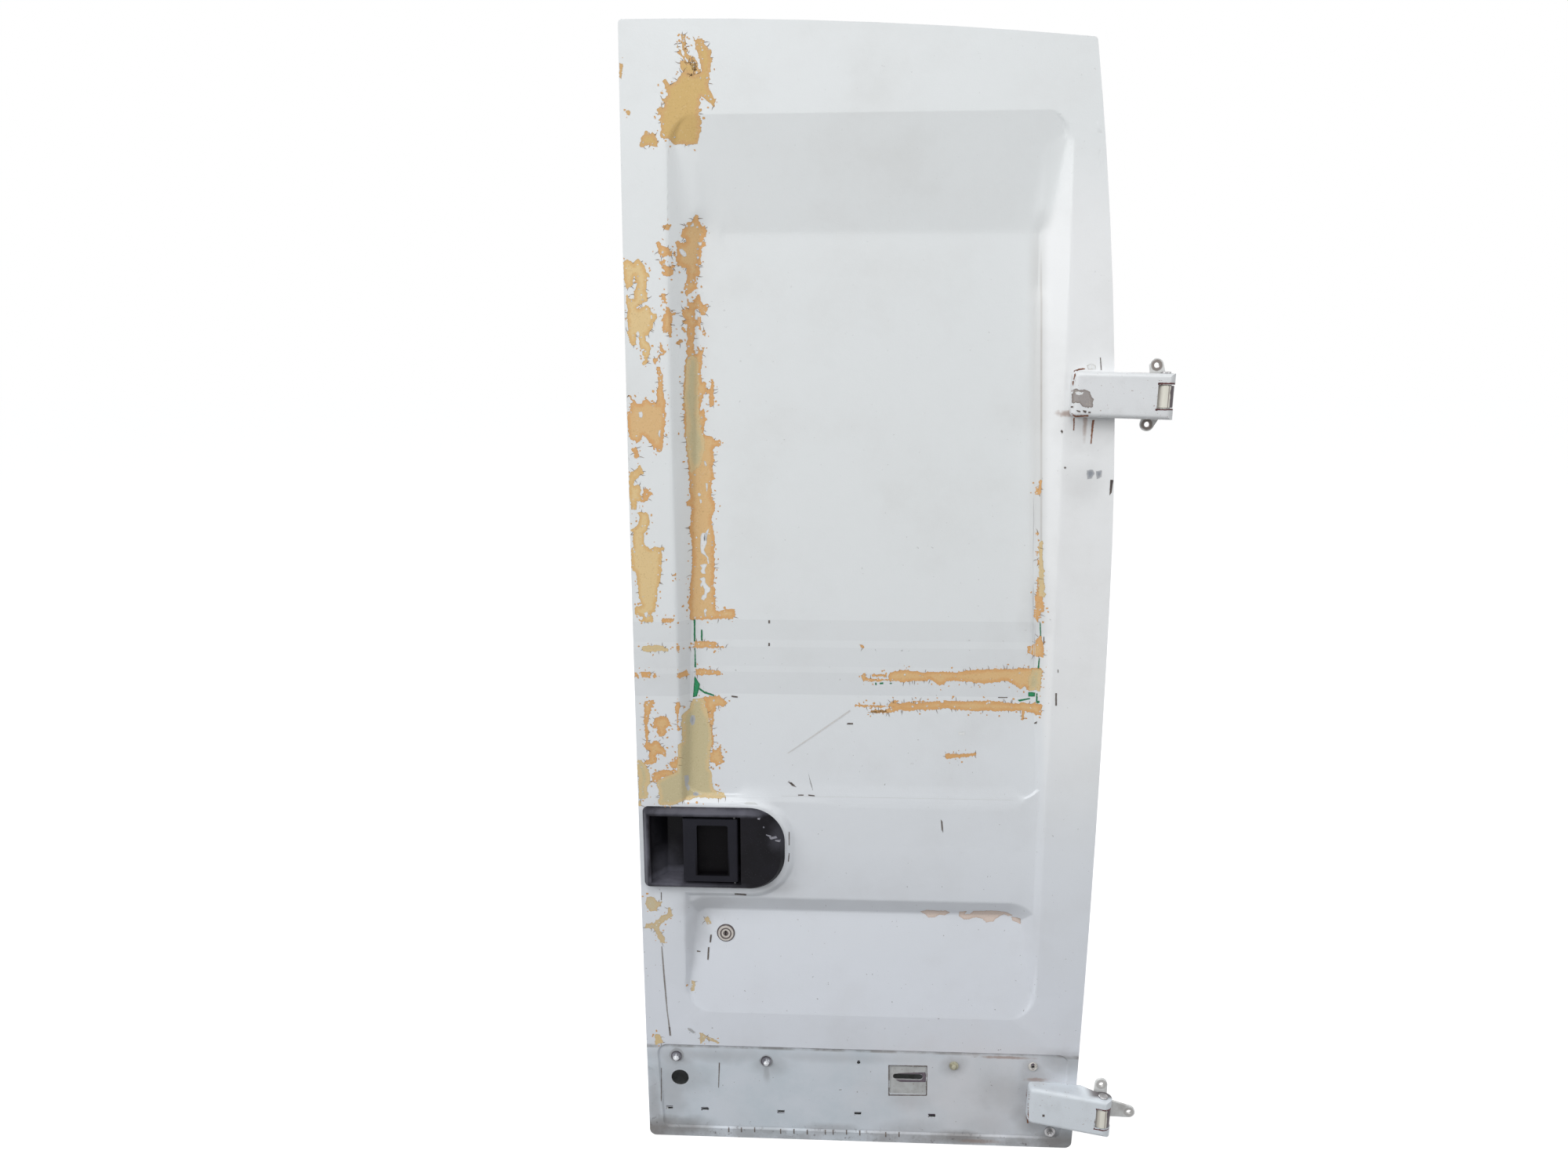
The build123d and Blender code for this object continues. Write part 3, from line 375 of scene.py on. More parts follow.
# outer paint of the leaf: old white, greyer and dirtier towards the foot
doorPaintSet = {
    # heights and places are in metres in the part's frame, runs are none, full, full, none
    "headTone": tone(228, 231, 232),
    "footTone": tone(219, 223, 231),
    "toneRun": (1.1, -0.02),
    "wallFoot": -0.110,  # X of the right wall's foot at height 0
    "wallLean": 0.0344,
    "slopeHeight": 1.484,  # where the head's slope begins
    "slopeLean": 0.31,
    # painted light on the right side of the field
    "paintedLightTone": tone(241, 242, 243),
    "paintedLightShare": 0.85,
    "paintedLightRun": (0.42, 0.8, 1.45, 1.66),
    "dustTone": tone(172, 166, 158),
    "dustShare": 0.13,
    # painted shade and dirt in the crease at the right wall's foot
    "creaseShadeAndDirtTone": tone(148, 134, 122),
    "creaseShadeAndDirtShare": 0.17,
    "cornerRun": (0.8, 1.1, 1.44, 1.54),
    "lineTone": tone(132, 112, 96),
    "lineRun": (0.86, 0.96, 1.4, 1.48),
    "barTone": tone(150, 152, 156),
    "barEdge": 0.0006,
    "barEnd": (-0.13, -0.15),
    "bars": [
        # v from, v to, strength
        (845, 883, 0.12),
        (883, 893, 0.05),
        (893, 926, 0.09),
        (926, 938, 0.035),
        (938, 972, 0.085),
    ],
    "stripTone": tone(194, 204, 212),
    "stripHead": (0.0935, 0.0895),
    "seamRun": (0.0855, 0.0895, 0.0915, 0.0965),
    "warmTone": tone(216, 212, 213),
    "grimeTone": tone(112, 106, 102),
    "hemHead": (-0.070, -0.080),
    "crustTone": tone(74, 68, 70),
    "rustTone": tone(134, 92, 64),
    "backTone": tone(206, 209, 210),
    "warmSpots": [
        (590, 110, 150, 100, 0.9, 0.5),
        (660, 70, 90, 70, 0.9, 0.3),
    ],
    "grime": [
        (100, 432, 18, 24, 0.8, 0.2),
        (84, 400, 8, 50, 0.8, 0.16),
        (58, 121, 46, 40, 0.8, 0.24),
        # painted shadow ring round the left stud's washer
        (53, 166, 12.5, 12.5, 0.18, 0.5),
        (53, 160, 30, 22, 0.8, 0.3),
        # painted shadow ring round the inner stud's washer
        (215.5, 160.4, 12.5, 12.5, 0.18, 0.5),
        (222, 154, 30, 20, 0.8, 0.25),
        (215, 136, 6, 18, 0.7, 0.35),
        (549, 161, 18, 18, 0.7, 0.4),
        (688, 163, 18, 16, 0.7, 0.3),
        (18, 14, 46, 24, 0.8, 0.75),
        (64, 20, 44, 16, 0.8, 0.55),
        (748, 12, 60, 26, 0.8, 0.65),
        (560, 14, 50, 12, 0.8, 0.6),
        (470, 16, 60, 22, 0.8, 0.3),
        (330, 22, 46, 10, 0.7, 0.35),
        (112, 462, 34, 26, 0.8, 0.22),
        (98, 420, 16, 40, 0.8, 0.2),
        (690, 96, 34, 64, 0.8, 0.36),
        (620, 36, 46, 26, 0.9, 0.16),
        (110, 168, 110, 12, 0.9, 0.26),
        (330, 170, 120, 8, 0.9, 0.16),
        (10, 60, 12, 70, 0.8, 0.4),
        (700, 44, 40, 26, 0.8, 0.36),
        (655, 110, 60, 40, 0.8, 0.22),
        (740, 178, 44, 20, 0.8, 0.35),
        (728, 1292, 40, 34, 0.8, 0.16),
        (720, 1200, 26, 30, 0.8, 0.14),
        (470, 90, 30, 20, 0.8, 0.18),
        (40, 100, 30, 70, 0.8, 0.3),
        (664, 985, 20, 60, 0.9, 0.12),
        (240, 500, 26, 12, 0.8, 0.18),
    ],
    "rust": [
        (695, 138, 16, 3.5, 0.6, 0.5),
        (690, 60, 10, 6, 0.5, 0.5),
        (722, 1302, 3, 26, 0.6, 0.55),
        (700, 1312, 20, 5, 0.5, 0.6),
        (640, 181, 40, 2.5, 0.6, 0.6),
        (600, 8, 30, 4, 0.6, 0.35),
    ],
}


# how far a point lies to the right of the right wall's foot
def besideWall(tree, across, height, s):
    beside = scaled(tree, height, s["wallLean"], sums(tree, "SUBTRACT", across, s["wallFoot"]))
    above = most(tree, sums(tree, "SUBTRACT", height, s["slopeHeight"]), 0.0)
    return sums(tree, "SUBTRACT", beside, times(tree, above, s["slopeLean"]))


def doorPaint(s):
    material, tree, shader, point = startMaterial("doorPaint")
    axes = axesOf(tree, point)
    height = axes["Z"]
    colour = blend(tree, ramp(tree, height, *s["toneRun"]), s["headTone"], s["footTone"])
    # painted light: the right side, from the foot of the right wall on, is painted lighter as if more
    # strongly lit
    beside = besideWall(tree, axes["X"], height, s)
    paintedLight = times(tree, ramp(tree, beside, 0.0, 0.016), between(tree, height, *s["paintedLightRun"]))
    colour = stain(tree, colour, paintedLight, s["paintedLightShare"], s["paintedLightTone"])
    dust = clouds(tree, point, 6.0, 0.42, 0.8)
    colour = stain(tree, colour, dust, s["dustShare"], s["dustTone"])
    # painted shade and dirt in the crease along the foot of the right wall, with a thin darker line in it
    corner = times(tree, near(tree, beside, -0.001, 0.02, 0.001), between(tree, height, *s["cornerRun"]))
    colour = stain(tree, colour, corner, s["creaseShadeAndDirtShare"], s["creaseShadeAndDirtTone"])
    line = times(tree, near(tree, beside, 0.004, 0.0024, 0.0004), between(tree, height, *s["lineRun"]))
    colour = stain(tree, colour, line, scaled(tree, dust, 0.3, 0.25), s["lineTone"])
    # faint bars across the field, where the paint has faded less
    across = ramp(tree, axes["X"], *s["barEnd"])
    edge = s["barEdge"]
    for low, high, strength in s["bars"]:
        low, high = leafFoot + low / 1000, leafFoot + high / 1000
        bar = between(tree, height, low - edge, low + edge, high - edge, high + edge)
        colour = stain(tree, colour, times(tree, bar, across), strength, s["barTone"])
    # joggled strip at the foot
    smear = clouds(tree, point, 13.0, 0.35, 0.75)
    strip = ramp(tree, height, *s["stripHead"])
    colour = stain(tree, colour, strip, scaled(tree, smear, 0.45, 0.4), s["stripTone"])
    broken = clouds(tree, point, 22.0, 0.38, 0.62)
    seam = between(tree, height, *s["seamRun"])
    colour = stain(tree, colour, seam, scaled(tree, broken, 0.6, 0.12), s["grimeTone"])
    colour = blend(tree, spotMask(tree, point, s["warmSpots"], 1.3, 20.0), colour, s["warmTone"])
    # grime spots, and painted shadow rings round the two studs
    grime = spotMask(tree, point, s["grime"], 1.3, 34.0)
    colour = blend(tree, grime, colour, s["grimeTone"])
    # dirt held along the hem, most of it at the left corner
    hem = ramp(tree, height, *s["hemHead"])
    colour = stain(tree, colour, hem, scaled(tree, broken, 0.36, 0.08), s["grimeTone"])
    leftCorner = times(tree, ramp(tree, axes["X"], -0.77, -0.80), ramp(tree, height, 0.08, -0.03))
    low = most(tree, ramp(tree, height, -0.06, -0.09), leftCorner)
    crust = ramp(tree, speckle(tree, point, 85.0, 5.0, 0.7), 0.56, 0.68)
    colour = stain(tree, colour, crust, times(tree, low, 0.75), s["crustTone"])
    colour = blend(tree, spotMask(tree, point, s["rust"], 1.4, 120.0), colour, s["rustTone"])
    # small specks of dirt all over, more of them low down
    specks = ramp(tree, speckle(tree, point, 170.0, 2.0), 0.73, 0.78)
    colour = stain(tree, colour, specks, ramp(tree, height, 1.6, -0.1, 0.15, 0.6), s["grimeTone"])
    # the back of the skin has only a thin coat
    front = addNode(tree, "ShaderNodeAttribute", attribute_name="front").outputs["Fac"]
    colour = blend(tree, front, stain(tree, s["backTone"], smear, 0.35, s["dustTone"]), colour)
    worn = most(tree, grime, times(tree, dust, 0.6))
    coat(tree, shader, colour, ramp(tree, worn, 0.0, 0.6, 0.42, 0.68))
    ripplePaint(tree, shader, point, 0.16, 0.0006)
    return material


# paint of the two hinge arms, with painted shade and grease inside the knuckle
armPaintSet = {
    "upperTone": tone(226, 228, 230),
    "lowerTone": tone(216, 222, 228),
    "dustTone": tone(150, 146, 142),
    "rustTone": tone(120, 74, 50),
    "shadeAndGreaseTone": tone(62, 46, 46),
    "shadeAndGreaseShare": 0.85,
}


def armPaint(s):
    material, tree, shader, point = startMaterial("armPaint")
    axes = axesOf(tree, point)
    colour = blend(tree, ramp(tree, axes["Z"], 0.9, 0.3), s["upperTone"], s["lowerTone"])
    dust = clouds(tree, point, 26.0, 0.45, 0.8)
    colour = stain(tree, colour, dust, 0.2, s["dustTone"])
    colour = stain(tree, colour, ramp(tree, speckle(tree, point, 260.0, 2.0), 0.7, 0.75), 0.6, s["rustTone"])
    # the knuckle's inside lies behind the arm's face; it gets painted shade and grease
    knuckle = times(tree, ramp(tree, axes["Y"], -0.034, -0.022), ramp(tree, axes["X"], -0.03, -0.012))
    colour = stain(tree, colour, knuckle, s["shadeAndGreaseShare"], s["shadeAndGreaseTone"])
    coat(tree, shader, colour, ramp(tree, dust, 0.0, 1.0, 0.36, 0.6))
    ripplePaint(tree, shader, point, 0.22, 0.0008)
    return material


# pillar brackets: thin white over primer, stained where washers sat, with painted shade and grease at the
# barrel
bracketSet = {
    "tone": tone(224, 225, 224),
    "grimeTone": tone(150, 142, 136),
    "stainTone": tone(112, 98, 90),
    "barrelTone": tone(232, 228, 214),
    "streakTone": tone(96, 72, 70),
    "shadeAndGreaseTone": tone(50, 28, 48),
    "pinLean": 0.02495,  # X gained by the hinge line per metre of height
    "washerSize": (0.0088, 0.05, 0.0088),
    "washers": [
        # place, strength of the stain
        ((0.023, -0.0025, 1.2896), 0.8),
        ((0.013, -0.0025, 1.1986), 0.85),
        ((0.0015, -0.0025, 0.045), 0.35),
        ((0.052, -0.0025, -0.0075), 0.4),
    ],
}


def bracketPaint(s):
    material, tree, shader, point = startMaterial("bracketPaint")
    axes = axesOf(tree, point)
    grime = clouds(tree, point, 38.0, 0.42, 0.75)
    colour = stain(tree, s["tone"], grime, 0.45, s["grimeTone"])
    ringValues = {"point": point, "size": s["washerSize"], "soft": 0.12, "ragged": 0.25, "grain": 160.0}
    for place, strength in s["washers"]:
        ring = useGroup(tree, raggedSpot, "Mask", place=place, **ringValues)
        colour = stain(tree, colour, ring, strength, s["stainTone"])
    # the barrel: worn pale in front, streaked, with painted shade down its left side and painted black shadow
    # with grease on its right
    across = scaled(tree, axes["Z"], -s["pinLean"], axes["X"])
    fore = ramp(tree, axes["Y"], -0.012, -0.02)
    colour = stain(tree, colour, fore, 0.8, s["barrelTone"])
    streak = times(tree, near(tree, across, 0.0035, 0.0011, 0.0005), fore)
    colour = stain(tree, colour, streak, 0.7, s["streakTone"])
    # painted shade down the barrel's left side, in the grime colour
    leftShade = times(tree, ramp(tree, across, -0.004, -0.009), fore)
    colour = stain(tree, colour, leftShade, 0.55, s["grimeTone"])
    # painted shadow and grease on the barrel's right
    wandering = scaled(tree, grime, 0.002, across)
    rightShadeAndGrease = between(tree, wandering, 0.0055, 0.0075, 0.019, 0.026)
    rightShadeAndGrease = times(tree, rightShadeAndGrease, ramp(tree, axes["Y"], -0.004, -0.010))
    colour = stain(tree, colour, rightShadeAndGrease, 0.93, s["shadeAndGreaseTone"])
    coat(tree, shader, colour, ramp(tree, grime, 0.0, 1.0, 0.42, 0.66))
    ripplePaint(tree, shader, point, 0.25, 0.0008)
    return material


# inner paint: a thinner coat, dusty, with a little rust low in the seams
innerPaintSet = {
    "tone": tone(205, 208, 209),
    "dustTone": tone(158, 150, 140),
    "rustTone": tone(126, 84, 56),
    "runStretch": (1.0, 1.0, 0.12),  # draws the dirt out into runs
}


def innerPaint(s):
    material, tree, shader, point = startMaterial("innerPaint")
    dust = clouds(tree, point, 5.0, 0.36, 0.78)
    colour = stain(tree, s["tone"], dust, 0.3, s["dustTone"])
    low = ramp(tree, axesOf(tree, point)["Z"], 0.35, -0.09)
    drawn = addNode(tree, "ShaderNodeMapping", {"Vector": point, "Scale": s["runStretch"]}).outputs[0]
    runs = clouds(tree, drawn, 42.0, 0.52, 0.75)
    colour = stain(tree, colour, runs, scaled(tree, low, 0.3, 0.06), s["dustTone"])
    rust = ramp(tree, speckle(tree, point, 120.0, 4.0), 0.66, 0.74)
    colour = stain(tree, colour, rust, times(tree, low, 0.9), s["rustTone"])
    coat(tree, shader, colour, ramp(tree, dust, 0.0, 1.0, 0.44, 0.7))
    ripplePaint(tree, shader, point, 0.2, 0.0008)
    return material


# black moulded plastic of the handle, dusty in the cup and scuffed pale here and there
handleSet = {
    "tone": tone(19, 18, 22),
    "bloomTone": tone(44, 43, 50),
    "fleckTone": tone(110, 110, 118),
    "dustTone": tone(150, 150, 164),
    "gloss": 0.12,
    "grain": 950.0,
    "dust": [
        (50, 517, 30, 9, 0.9, 0.5),
        (44, 530, 20, 26, 0.9, 0.22),
        (80, 510, 70, 6, 0.9, 0.18),
        (12, 575, 5, 66, 0.8, 0.4),
        (120, 643, 110, 5, 0.8, 0.35),
        (136, 524, 26, 8, 0.8, 0.3),
        (240, 600, 14, 20, 0.8, 0.12),
    ],
}


def handlePlastic(s):
    material, tree, shader, point = startMaterial("handlePlastic")
    bloom = clouds(tree, point, 28.0, 0.4, 0.8)
    colour = stain(tree, s["tone"], bloom, 0.3, s["bloomTone"])
    dust = spotMask(tree, point, s["dust"], 1.2, 50.0)
    colour = blend(tree, dust, colour, s["dustTone"])
    fleck = useGroup(tree, mouldedGrain, "Fleck", point=point, scale=s["grain"])
    colour = stain(tree, colour, fleck, 0.3, s["fleckTone"])
    coat(tree, shader, colour, ramp(tree, most(tree, dust, bloom), 0.0, 1.0, 0.42, 0.66))
    shader.inputs["Specular IOR Level"].default_value = s["gloss"]
    roughen(tree, shader, useGroup(tree, mouldedGrain, "Height", point=point, scale=s["grain"]), 0.22, 0.0004)
    return material


# the paddle is a little greyer, with painted shade in its dimple, darker the deeper it lies
paddleSet = {
    "tone": tone(38, 38, 44),
    "bloomTone": tone(52, 52, 60),
    "fleckTone": tone(74, 74, 84),
    "dimpleShadeTone": tone(10, 9, 11),
    "dimpleAcross": (-0.7085, -0.7065, -0.6500, -0.6480),
    "dimpleUp": (0.4310, 0.4330, 0.5240, 0.5260),
    "dimpleDepth": (-0.0212, -0.0195),
    "gloss": 0.06,
    "grain": 950.0,
}


def paddlePlastic(s):
    material, tree, shader, point = startMaterial("paddlePlastic")
    axes = axesOf(tree, point)
    bloom = clouds(tree, point, 28.0, 0.4, 0.8)
    colour = stain(tree, s["tone"], bloom, 0.25, s["bloomTone"])
    # painted shade in the dimple, darker with depth
    within = times(
        tree, between(tree, axes["X"], *s["dimpleAcross"]), between(tree, axes["Z"], *s["dimpleUp"])
    )
    colour = stain(tree, colour, within, ramp(tree, axes["Y"], *s["dimpleDepth"]), s["dimpleShadeTone"])
    fleck = useGroup(tree, mouldedGrain, "Fleck", point=point, scale=s["grain"])
    colour = stain(tree, colour, fleck, 0.25, s["fleckTone"])
    coat(tree, shader, colour, ramp(tree, bloom, 0.0, 1.0, 0.45, 0.66))
    shader.inputs["Specular IOR Level"].default_value = s["gloss"]
    roughen(tree, shader, useGroup(tree, mouldedGrain, "Height", point=point, scale=s["grain"]), 0.22, 0.0004)
    return material


# bare metals; dark rings are painted round the lock's key face as the shade in its grooves
metalSet = {
    "wornSteel": {
        "tone": tone(176, 176, 178),
        "grimeTone": tone(92, 82, 74),
        "metallic": 0.85,
        "scale": 90.0,
        "share": 0.55,
        "grooveShades": [],
    },
    "lockMetal": {
        "tone": tone(196, 190, 184),
        "grimeTone": tone(130, 120, 116),
        "metallic": 0.2,
        "scale": 120.0,
        "share": 0.4,
        "centre": (-0.661, 0.3066),
        "grooveShadeTone": tone(58, 46, 50),
        "grooveShades": [(0.0030, 0.0024), (0.0090, 0.0017), (0.0150, 0.0018)],  # radius, half width
    },
}


def bareMetal(name, s):
    material, tree, shader, point = startMaterial(name)
    grime = clouds(tree, point, s["scale"], 0.42, 0.72)
    colour = stain(tree, s["tone"], grime, s["share"], s["grimeTone"])
    # painted shade: dark rings round the lock's key face
    for radius, width in s["grooveShades"]:
        grooveShade = near(tree, flatDistance(tree, point, *s["centre"]), radius, width, 0.4 * width)
        colour = stain(tree, colour, grooveShade, 0.92, s["grooveShadeTone"])
    coat(tree, shader, colour, ramp(tree, grime, 0.0, 1.0, 0.3, 0.62))
    shader.inputs["Metallic"].default_value = s["metallic"]
    roughen(tree, shader, speckle(tree, point, 900.0, 3.0), 0.15, 0.0003)
    return material


# studs at the foot: pale heads on dull washers
studSet = {
    "headTone": tone(228, 230, 234),
    "washerTone": tone(126, 126, 134),
    "edgeTone": tone(70, 66, 74),
    "grimeTone": tone(112, 104, 100),
    "metallic": 0.25,
    "centres": [(-0.7523, 0.0700), (-0.5895, 0.0644)],
    "headEdge": (0.0046, 0.0056),
    "washerEdge": (0.0076, 0.0088),
}


def studSteel(s):
    material, tree, shader, point = startMaterial("studSteel")
    away = sums(tree, "MINIMUM", *[flatDistance(tree, point, x, z) for x, z in s["centres"]])
    colour = blend(tree, ramp(tree, away, *s["headEdge"]), s["headTone"], s["washerTone"])
    colour = blend(tree, ramp(tree, away, *s["washerEdge"]), colour, s["edgeTone"])
    grime = clouds(tree, point, 140.0, 0.45, 0.75)
    colour = stain(tree, colour, grime, 0.3, s["grimeTone"])
    coat(tree, shader, colour, ramp(tree, grime, 0.0, 1.0, 0.34, 0.6))
    shader.inputs["Metallic"].default_value = s["metallic"]
    return material


# slotted plate: old grey paint
plateSet = {"tone": tone(184, 186, 186), "dustTone": tone(140, 136, 134), "rustTone": tone(120, 98, 84)}


def platePaint(s):
    material, tree, shader, point = startMaterial("platePaint")
    dust = clouds(tree, point, 45.0, 0.4, 0.75)
    colour = stain(tree, s["tone"], dust, 0.45, s["dustTone"])
    colour = stain(tree, colour, ramp(tree, speckle(tree, point, 240.0, 3.0), 0.66, 0.74), 0.6, s["rustTone"])
    coat(tree, shader, colour, ramp(tree, dust, 0.0, 1.0, 0.45, 0.68))
    ripplePaint(tree, shader, point, 0.2, 0.0008)
    return material


# small plastic and rubber pieces at the foot
smallSet = {
    "clipPlastic": {"tone": tone(190, 186, 162), "grimeTone": tone(104, 98, 80), "roughness": (0.42, 0.6)},
    "paleRubber": {"tone": tone(214, 211, 205), "grimeTone": tone(150, 142, 134), "roughness": (0.6, 0.8)},
}


def smallMoulding(name, s):
    material, tree, shader, point = startMaterial(name)
    grime = clouds(tree, point, 150.0, 0.4, 0.7)
    colour = stain(tree, s["tone"], grime, 0.6, s["grimeTone"])
    coat(tree, shader, colour, ramp(tree, grime, 0.0, 1.0, *s["roughness"]))
    roughen(tree, shader, useGroup(tree, mouldedGrain, "Height", point=point, scale=1400.0), 0.15, 0.0003)
    return material


finishes = {
    "outer_paint": doorPaint(doorPaintSet),
    "inner_paint": innerPaint(innerPaintSet),
    "bracket_paint": bracketPaint(bracketSet),
    "worn_steel": bareMetal("wornSteel", metalSet["wornSteel"]),
    "lock_metal": bareMetal("lockMetal", metalSet["lockMetal"]),
    "black_plastic": handlePlastic(handleSet),
    "clip_plastic": smallMoulding("clipPlastic", smallSet["clipPlastic"]),
    "pale_rubber": smallMoulding("paleRubber", smallSet["paleRubber"]),
}
armFinish, studFinish = armPaint(armPaintSet), studSteel(studSet)
ownFinishes = {
    "upper_hinge_arm": armFinish,
    "lower_hinge_arm": armFinish,
    "foot_stud_left": studFinish,
    "foot_stud_inner": studFinish,
    "slot_plate": platePaint(plateSet),
    "handle_paddle": paddlePlastic(paddleSet),
}
print("finishes", len(finishes) + len(ownFinishes))


# inner corners of the pressed field are soft: there the copy's front is levelled out over a disc
creaseSet = {
    "corner": 0.042,  # disc radius where the head slope meets a side wall
    "wall": 0.018,  # along the foot of a side wall
    "head": 0.007,  # along the foot of the head slope
    "foot": 0.020,  # at the rounded foot of the field
    "least": 0.001,  # smaller discs change nothing
    "rings": (0.3, 0.62, 0.92),  # shares of the radius at which depths are taken
    "spokes": 12,
    "deepest": 0.06,  # depths farther off than this are through a hole
    "forward": -0.15,  # faces whose normal's Y is lower look forwards
    "field": (60, 730, 600, 1800),  # box that may move: u from, u to, v from, v to
    "folds": (60, 730, 640, 1800),  # box in which folds are looked for
    "hollowFold": -0.07,  # radians
    "proudFold": 0.03,
    "levelFold": 0.12,
    "slopeFoot": 1590,  # v at which the two corner creases below start
    "slopeHead": 1720,
    "cornerCreases": [(117, -0.24), (648, 0.29)],  # u at the start, lean
    "cornerRun": (1575, 1722),
    "cornerWidth": 14,
    "footHead": 770,  # v below which the foot's box holds
    "footSides": (165, 655),
    "footLow": (645, 610),  # foot's lower end beside the handle and clear of it
    "handleEnd": (310, 360),
    "leftWall": (192, 137),  # u from the field towards each wall
    "rightWall": (608, 658),
    "cornerStart": (1400, 1520),
    "cuts": [
        # axis, from, to, spacing, then the box of faces cut: u from, u to, v from, v to
        (0, -0.205, -0.080, 0.005, (600, 725, 690, 1800)),
        (0, -0.745, -0.605, 0.005, (60, 200, 690, 1800)),
        (2, 1.400, 1.704, 0.008, (600, 725, 1490, 1800)),
        (2, 1.400, 1.704, 0.008, (60, 200, 1490, 1800)),
        (0, -0.650, -0.140, 0.015, (150, 700, 605, 770)),
        (2, 0.516, 0.660, 0.004, (150, 700, 605, 770)),
    ],
}
rayStart = -0.2  # well in front of the door


def frontHit(surface, x, z):
    return surface.ray_cast(Vector((x, rayStart, z)), Vector((0, 1, 0)))[:2]


def shareOf(value, none, full):
    return min(1.0, max(0.0, (value - none) / (full - none)))


def inBox(place, box):
    return box[0] < place[0] < box[1] and box[2] < place[1] < box[3]


def middleOf(edge):
    return offDoor((edge.verts[0].co + edge.verts[1].co) / 2)


# points along edges, looked up by their place in the picture plane
def alongEdges(edges, spacing):
    points = []
    for edge in edges:
        first, last = edge.verts[0].co, edge.verts[1].co
        count = max(1, int((last - first).length / spacing))
        points += [first.lerp(last, i / count) for i in range(count + 1)]
    tree = KDTree(len(points))
    for i, point in enumerate(points):
        tree.insert((point.x, 0.0, point.z), i)
    tree.balance()
    return tree


# a rim that stands proud keeps its shape; folds in a corner crease don't count as rims
def isProudRim(edge, s):
    run = edge.verts[1].co - edge.verts[0].co
    u, v = middleOf(edge)
    off = min(abs(u - start - lean * (v - s["slopeFoot"])) for start, lean in s["cornerCreases"])
    if s["cornerRun"][0] < v < s["cornerRun"][1] and off < s["cornerWidth"]:
        return False
    level = abs(run.x) > abs(run.z) and v < s["slopeHead"]
    return edge.calc_face_angle_signed(0.0) > (s["levelFold"] if level else s["proudFold"])


def cutFront(bm, s):
    for axis, low, high, spacing, (u0, u1, v0, v1) in s["cuts"]:
        chosen = []
        for face in bm.faces:
            if face.normal.y < s["forward"]:
                us, vs = zip(*[offDoor(vert.co) for vert in face.verts])
                if max(us) > u0 and min(us) < u1 and max(vs) > v0 and min(vs) < v1:
                    chosen.append(face)
        edges = dict.fromkeys(edge for face in chosen for edge in face.edges)
        verts = dict.fromkeys(vert for face in chosen for vert in face.verts)
        geom = [*chosen, *edges, *verts]
        for i in range(int((high - low) / spacing) + 1):
            at, normal = [0.0, 0.0, 0.0], [0.0, 0.0, 0.0]
            at[axis], normal[axis] = low + i * spacing, 1.0
            geom = bmesh.ops.bisect_plane(bm, geom=geom, dist=0.00002, plane_co=at, plane_no=normal)["geom"]


def discRadius(co, hollow, proud, s):
    u, v = offDoor(co)
    if v < s["footHead"]:
        beside, clear = s["footLow"]
        low = beside + (clear - beside) * shareOf(u, *s["handleEnd"])
        room = min(u - s["footSides"][0], s["footSides"][1] - u, v - low, s["footHead"] - v) / 1000
        return min(s["foot"], room)
    atWall = max(shareOf(u, *s["leftWall"]), shareOf(u, *s["rightWall"]))
    wide = s["wall"] + (s["corner"] - s["wall"]) * shareOf(v, *s["cornerStart"])
    limit = s["head"] + (wide - s["head"]) * atWall
    flat = (co.x, 0.0, co.z)
    if hollow.find(flat)[2] >= limit + 0.004:
        return 0.0
    return min(limit, proud.find(flat)[2] - 0.001)


def discDepth(surface, co, radius, s):
    total, weight = 0.0, 0
    for ring in s["rings"]:
        for i in range(s["spokes"]):
            turn, reach = 2 * math.pi * i / s["spokes"] + ring, radius * ring
            hit, _ = frontHit(surface, co.x + reach * math.cos(turn), co.z + reach * math.sin(turn))
            if hit is not None and abs(hit.y - co.y) < s["deepest"]:
                total, weight = total + ring * hit.y, weight + ring
    return total / weight if weight else co.y


def softenField(bm, s):
    bm.normal_update()
    surface = BVHTree.FromBMesh(bm)
    folds = []
    for edge in bm.edges:
        forward = [face.normal.y < s["forward"] for face in edge.link_faces]
        if forward == [True, True] and inBox(middleOf(edge), s["folds"]):
            folds.append(edge)
    hollow = alongEdges([edge for edge in folds if edge.calc_face_angle_signed(0.0) < s["hollowFold"]], 0.004)
    proud = alongEdges([edge for edge in folds if isProudRim(edge, s)], 0.004)
    cutFront(bm, s)
    bm.normal_update()
    depths = {}
    for vert in dict.fromkeys(v for face in bm.faces if face.normal.y < s["forward"] for v in face.verts):
        if inBox(offDoor(vert.co), s["field"]):
            radius = discRadius(vert.co, hollow, proud, s)
            if radius >= s["least"]:
                depths[vert] = discDepth(surface, vert.co, radius, s)
    for vert, depth in depths.items():
        vert.co.y = depth
    bm.normal_update()
    print("softened", len(depths), "of", len(bm.verts))


# the paint reads which side of the skin a point is on
def markFront(bm):
    layer = bm.verts.layers.float.new("front")
    for vert in bm.verts:
        vert[layer] = 1.0 if vert.normal.y < 0.2 else 0.0


# merged, smooth-shaded copies stand for the CAD nodes
bodyOf = {node: body for body, nodes in frame["record"]["behaviour"]["bodies"].items() for node in nodes}
slotOf = {entry["node"]: entry["material_slot"] for entry in frame["record"]["subparts"]}
smoothAngle = math.radians(28)


def addPiece(name, bm, body, material):
    mesh = bpy.data.meshes.new(name)
    bm.to_mesh(mesh)
    bm.free()
    mesh.materials.append(material)
    piece = bpy.data.objects.new(name, mesh)
    scene.collection.objects.link(piece)
    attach(piece, body)
    return piece


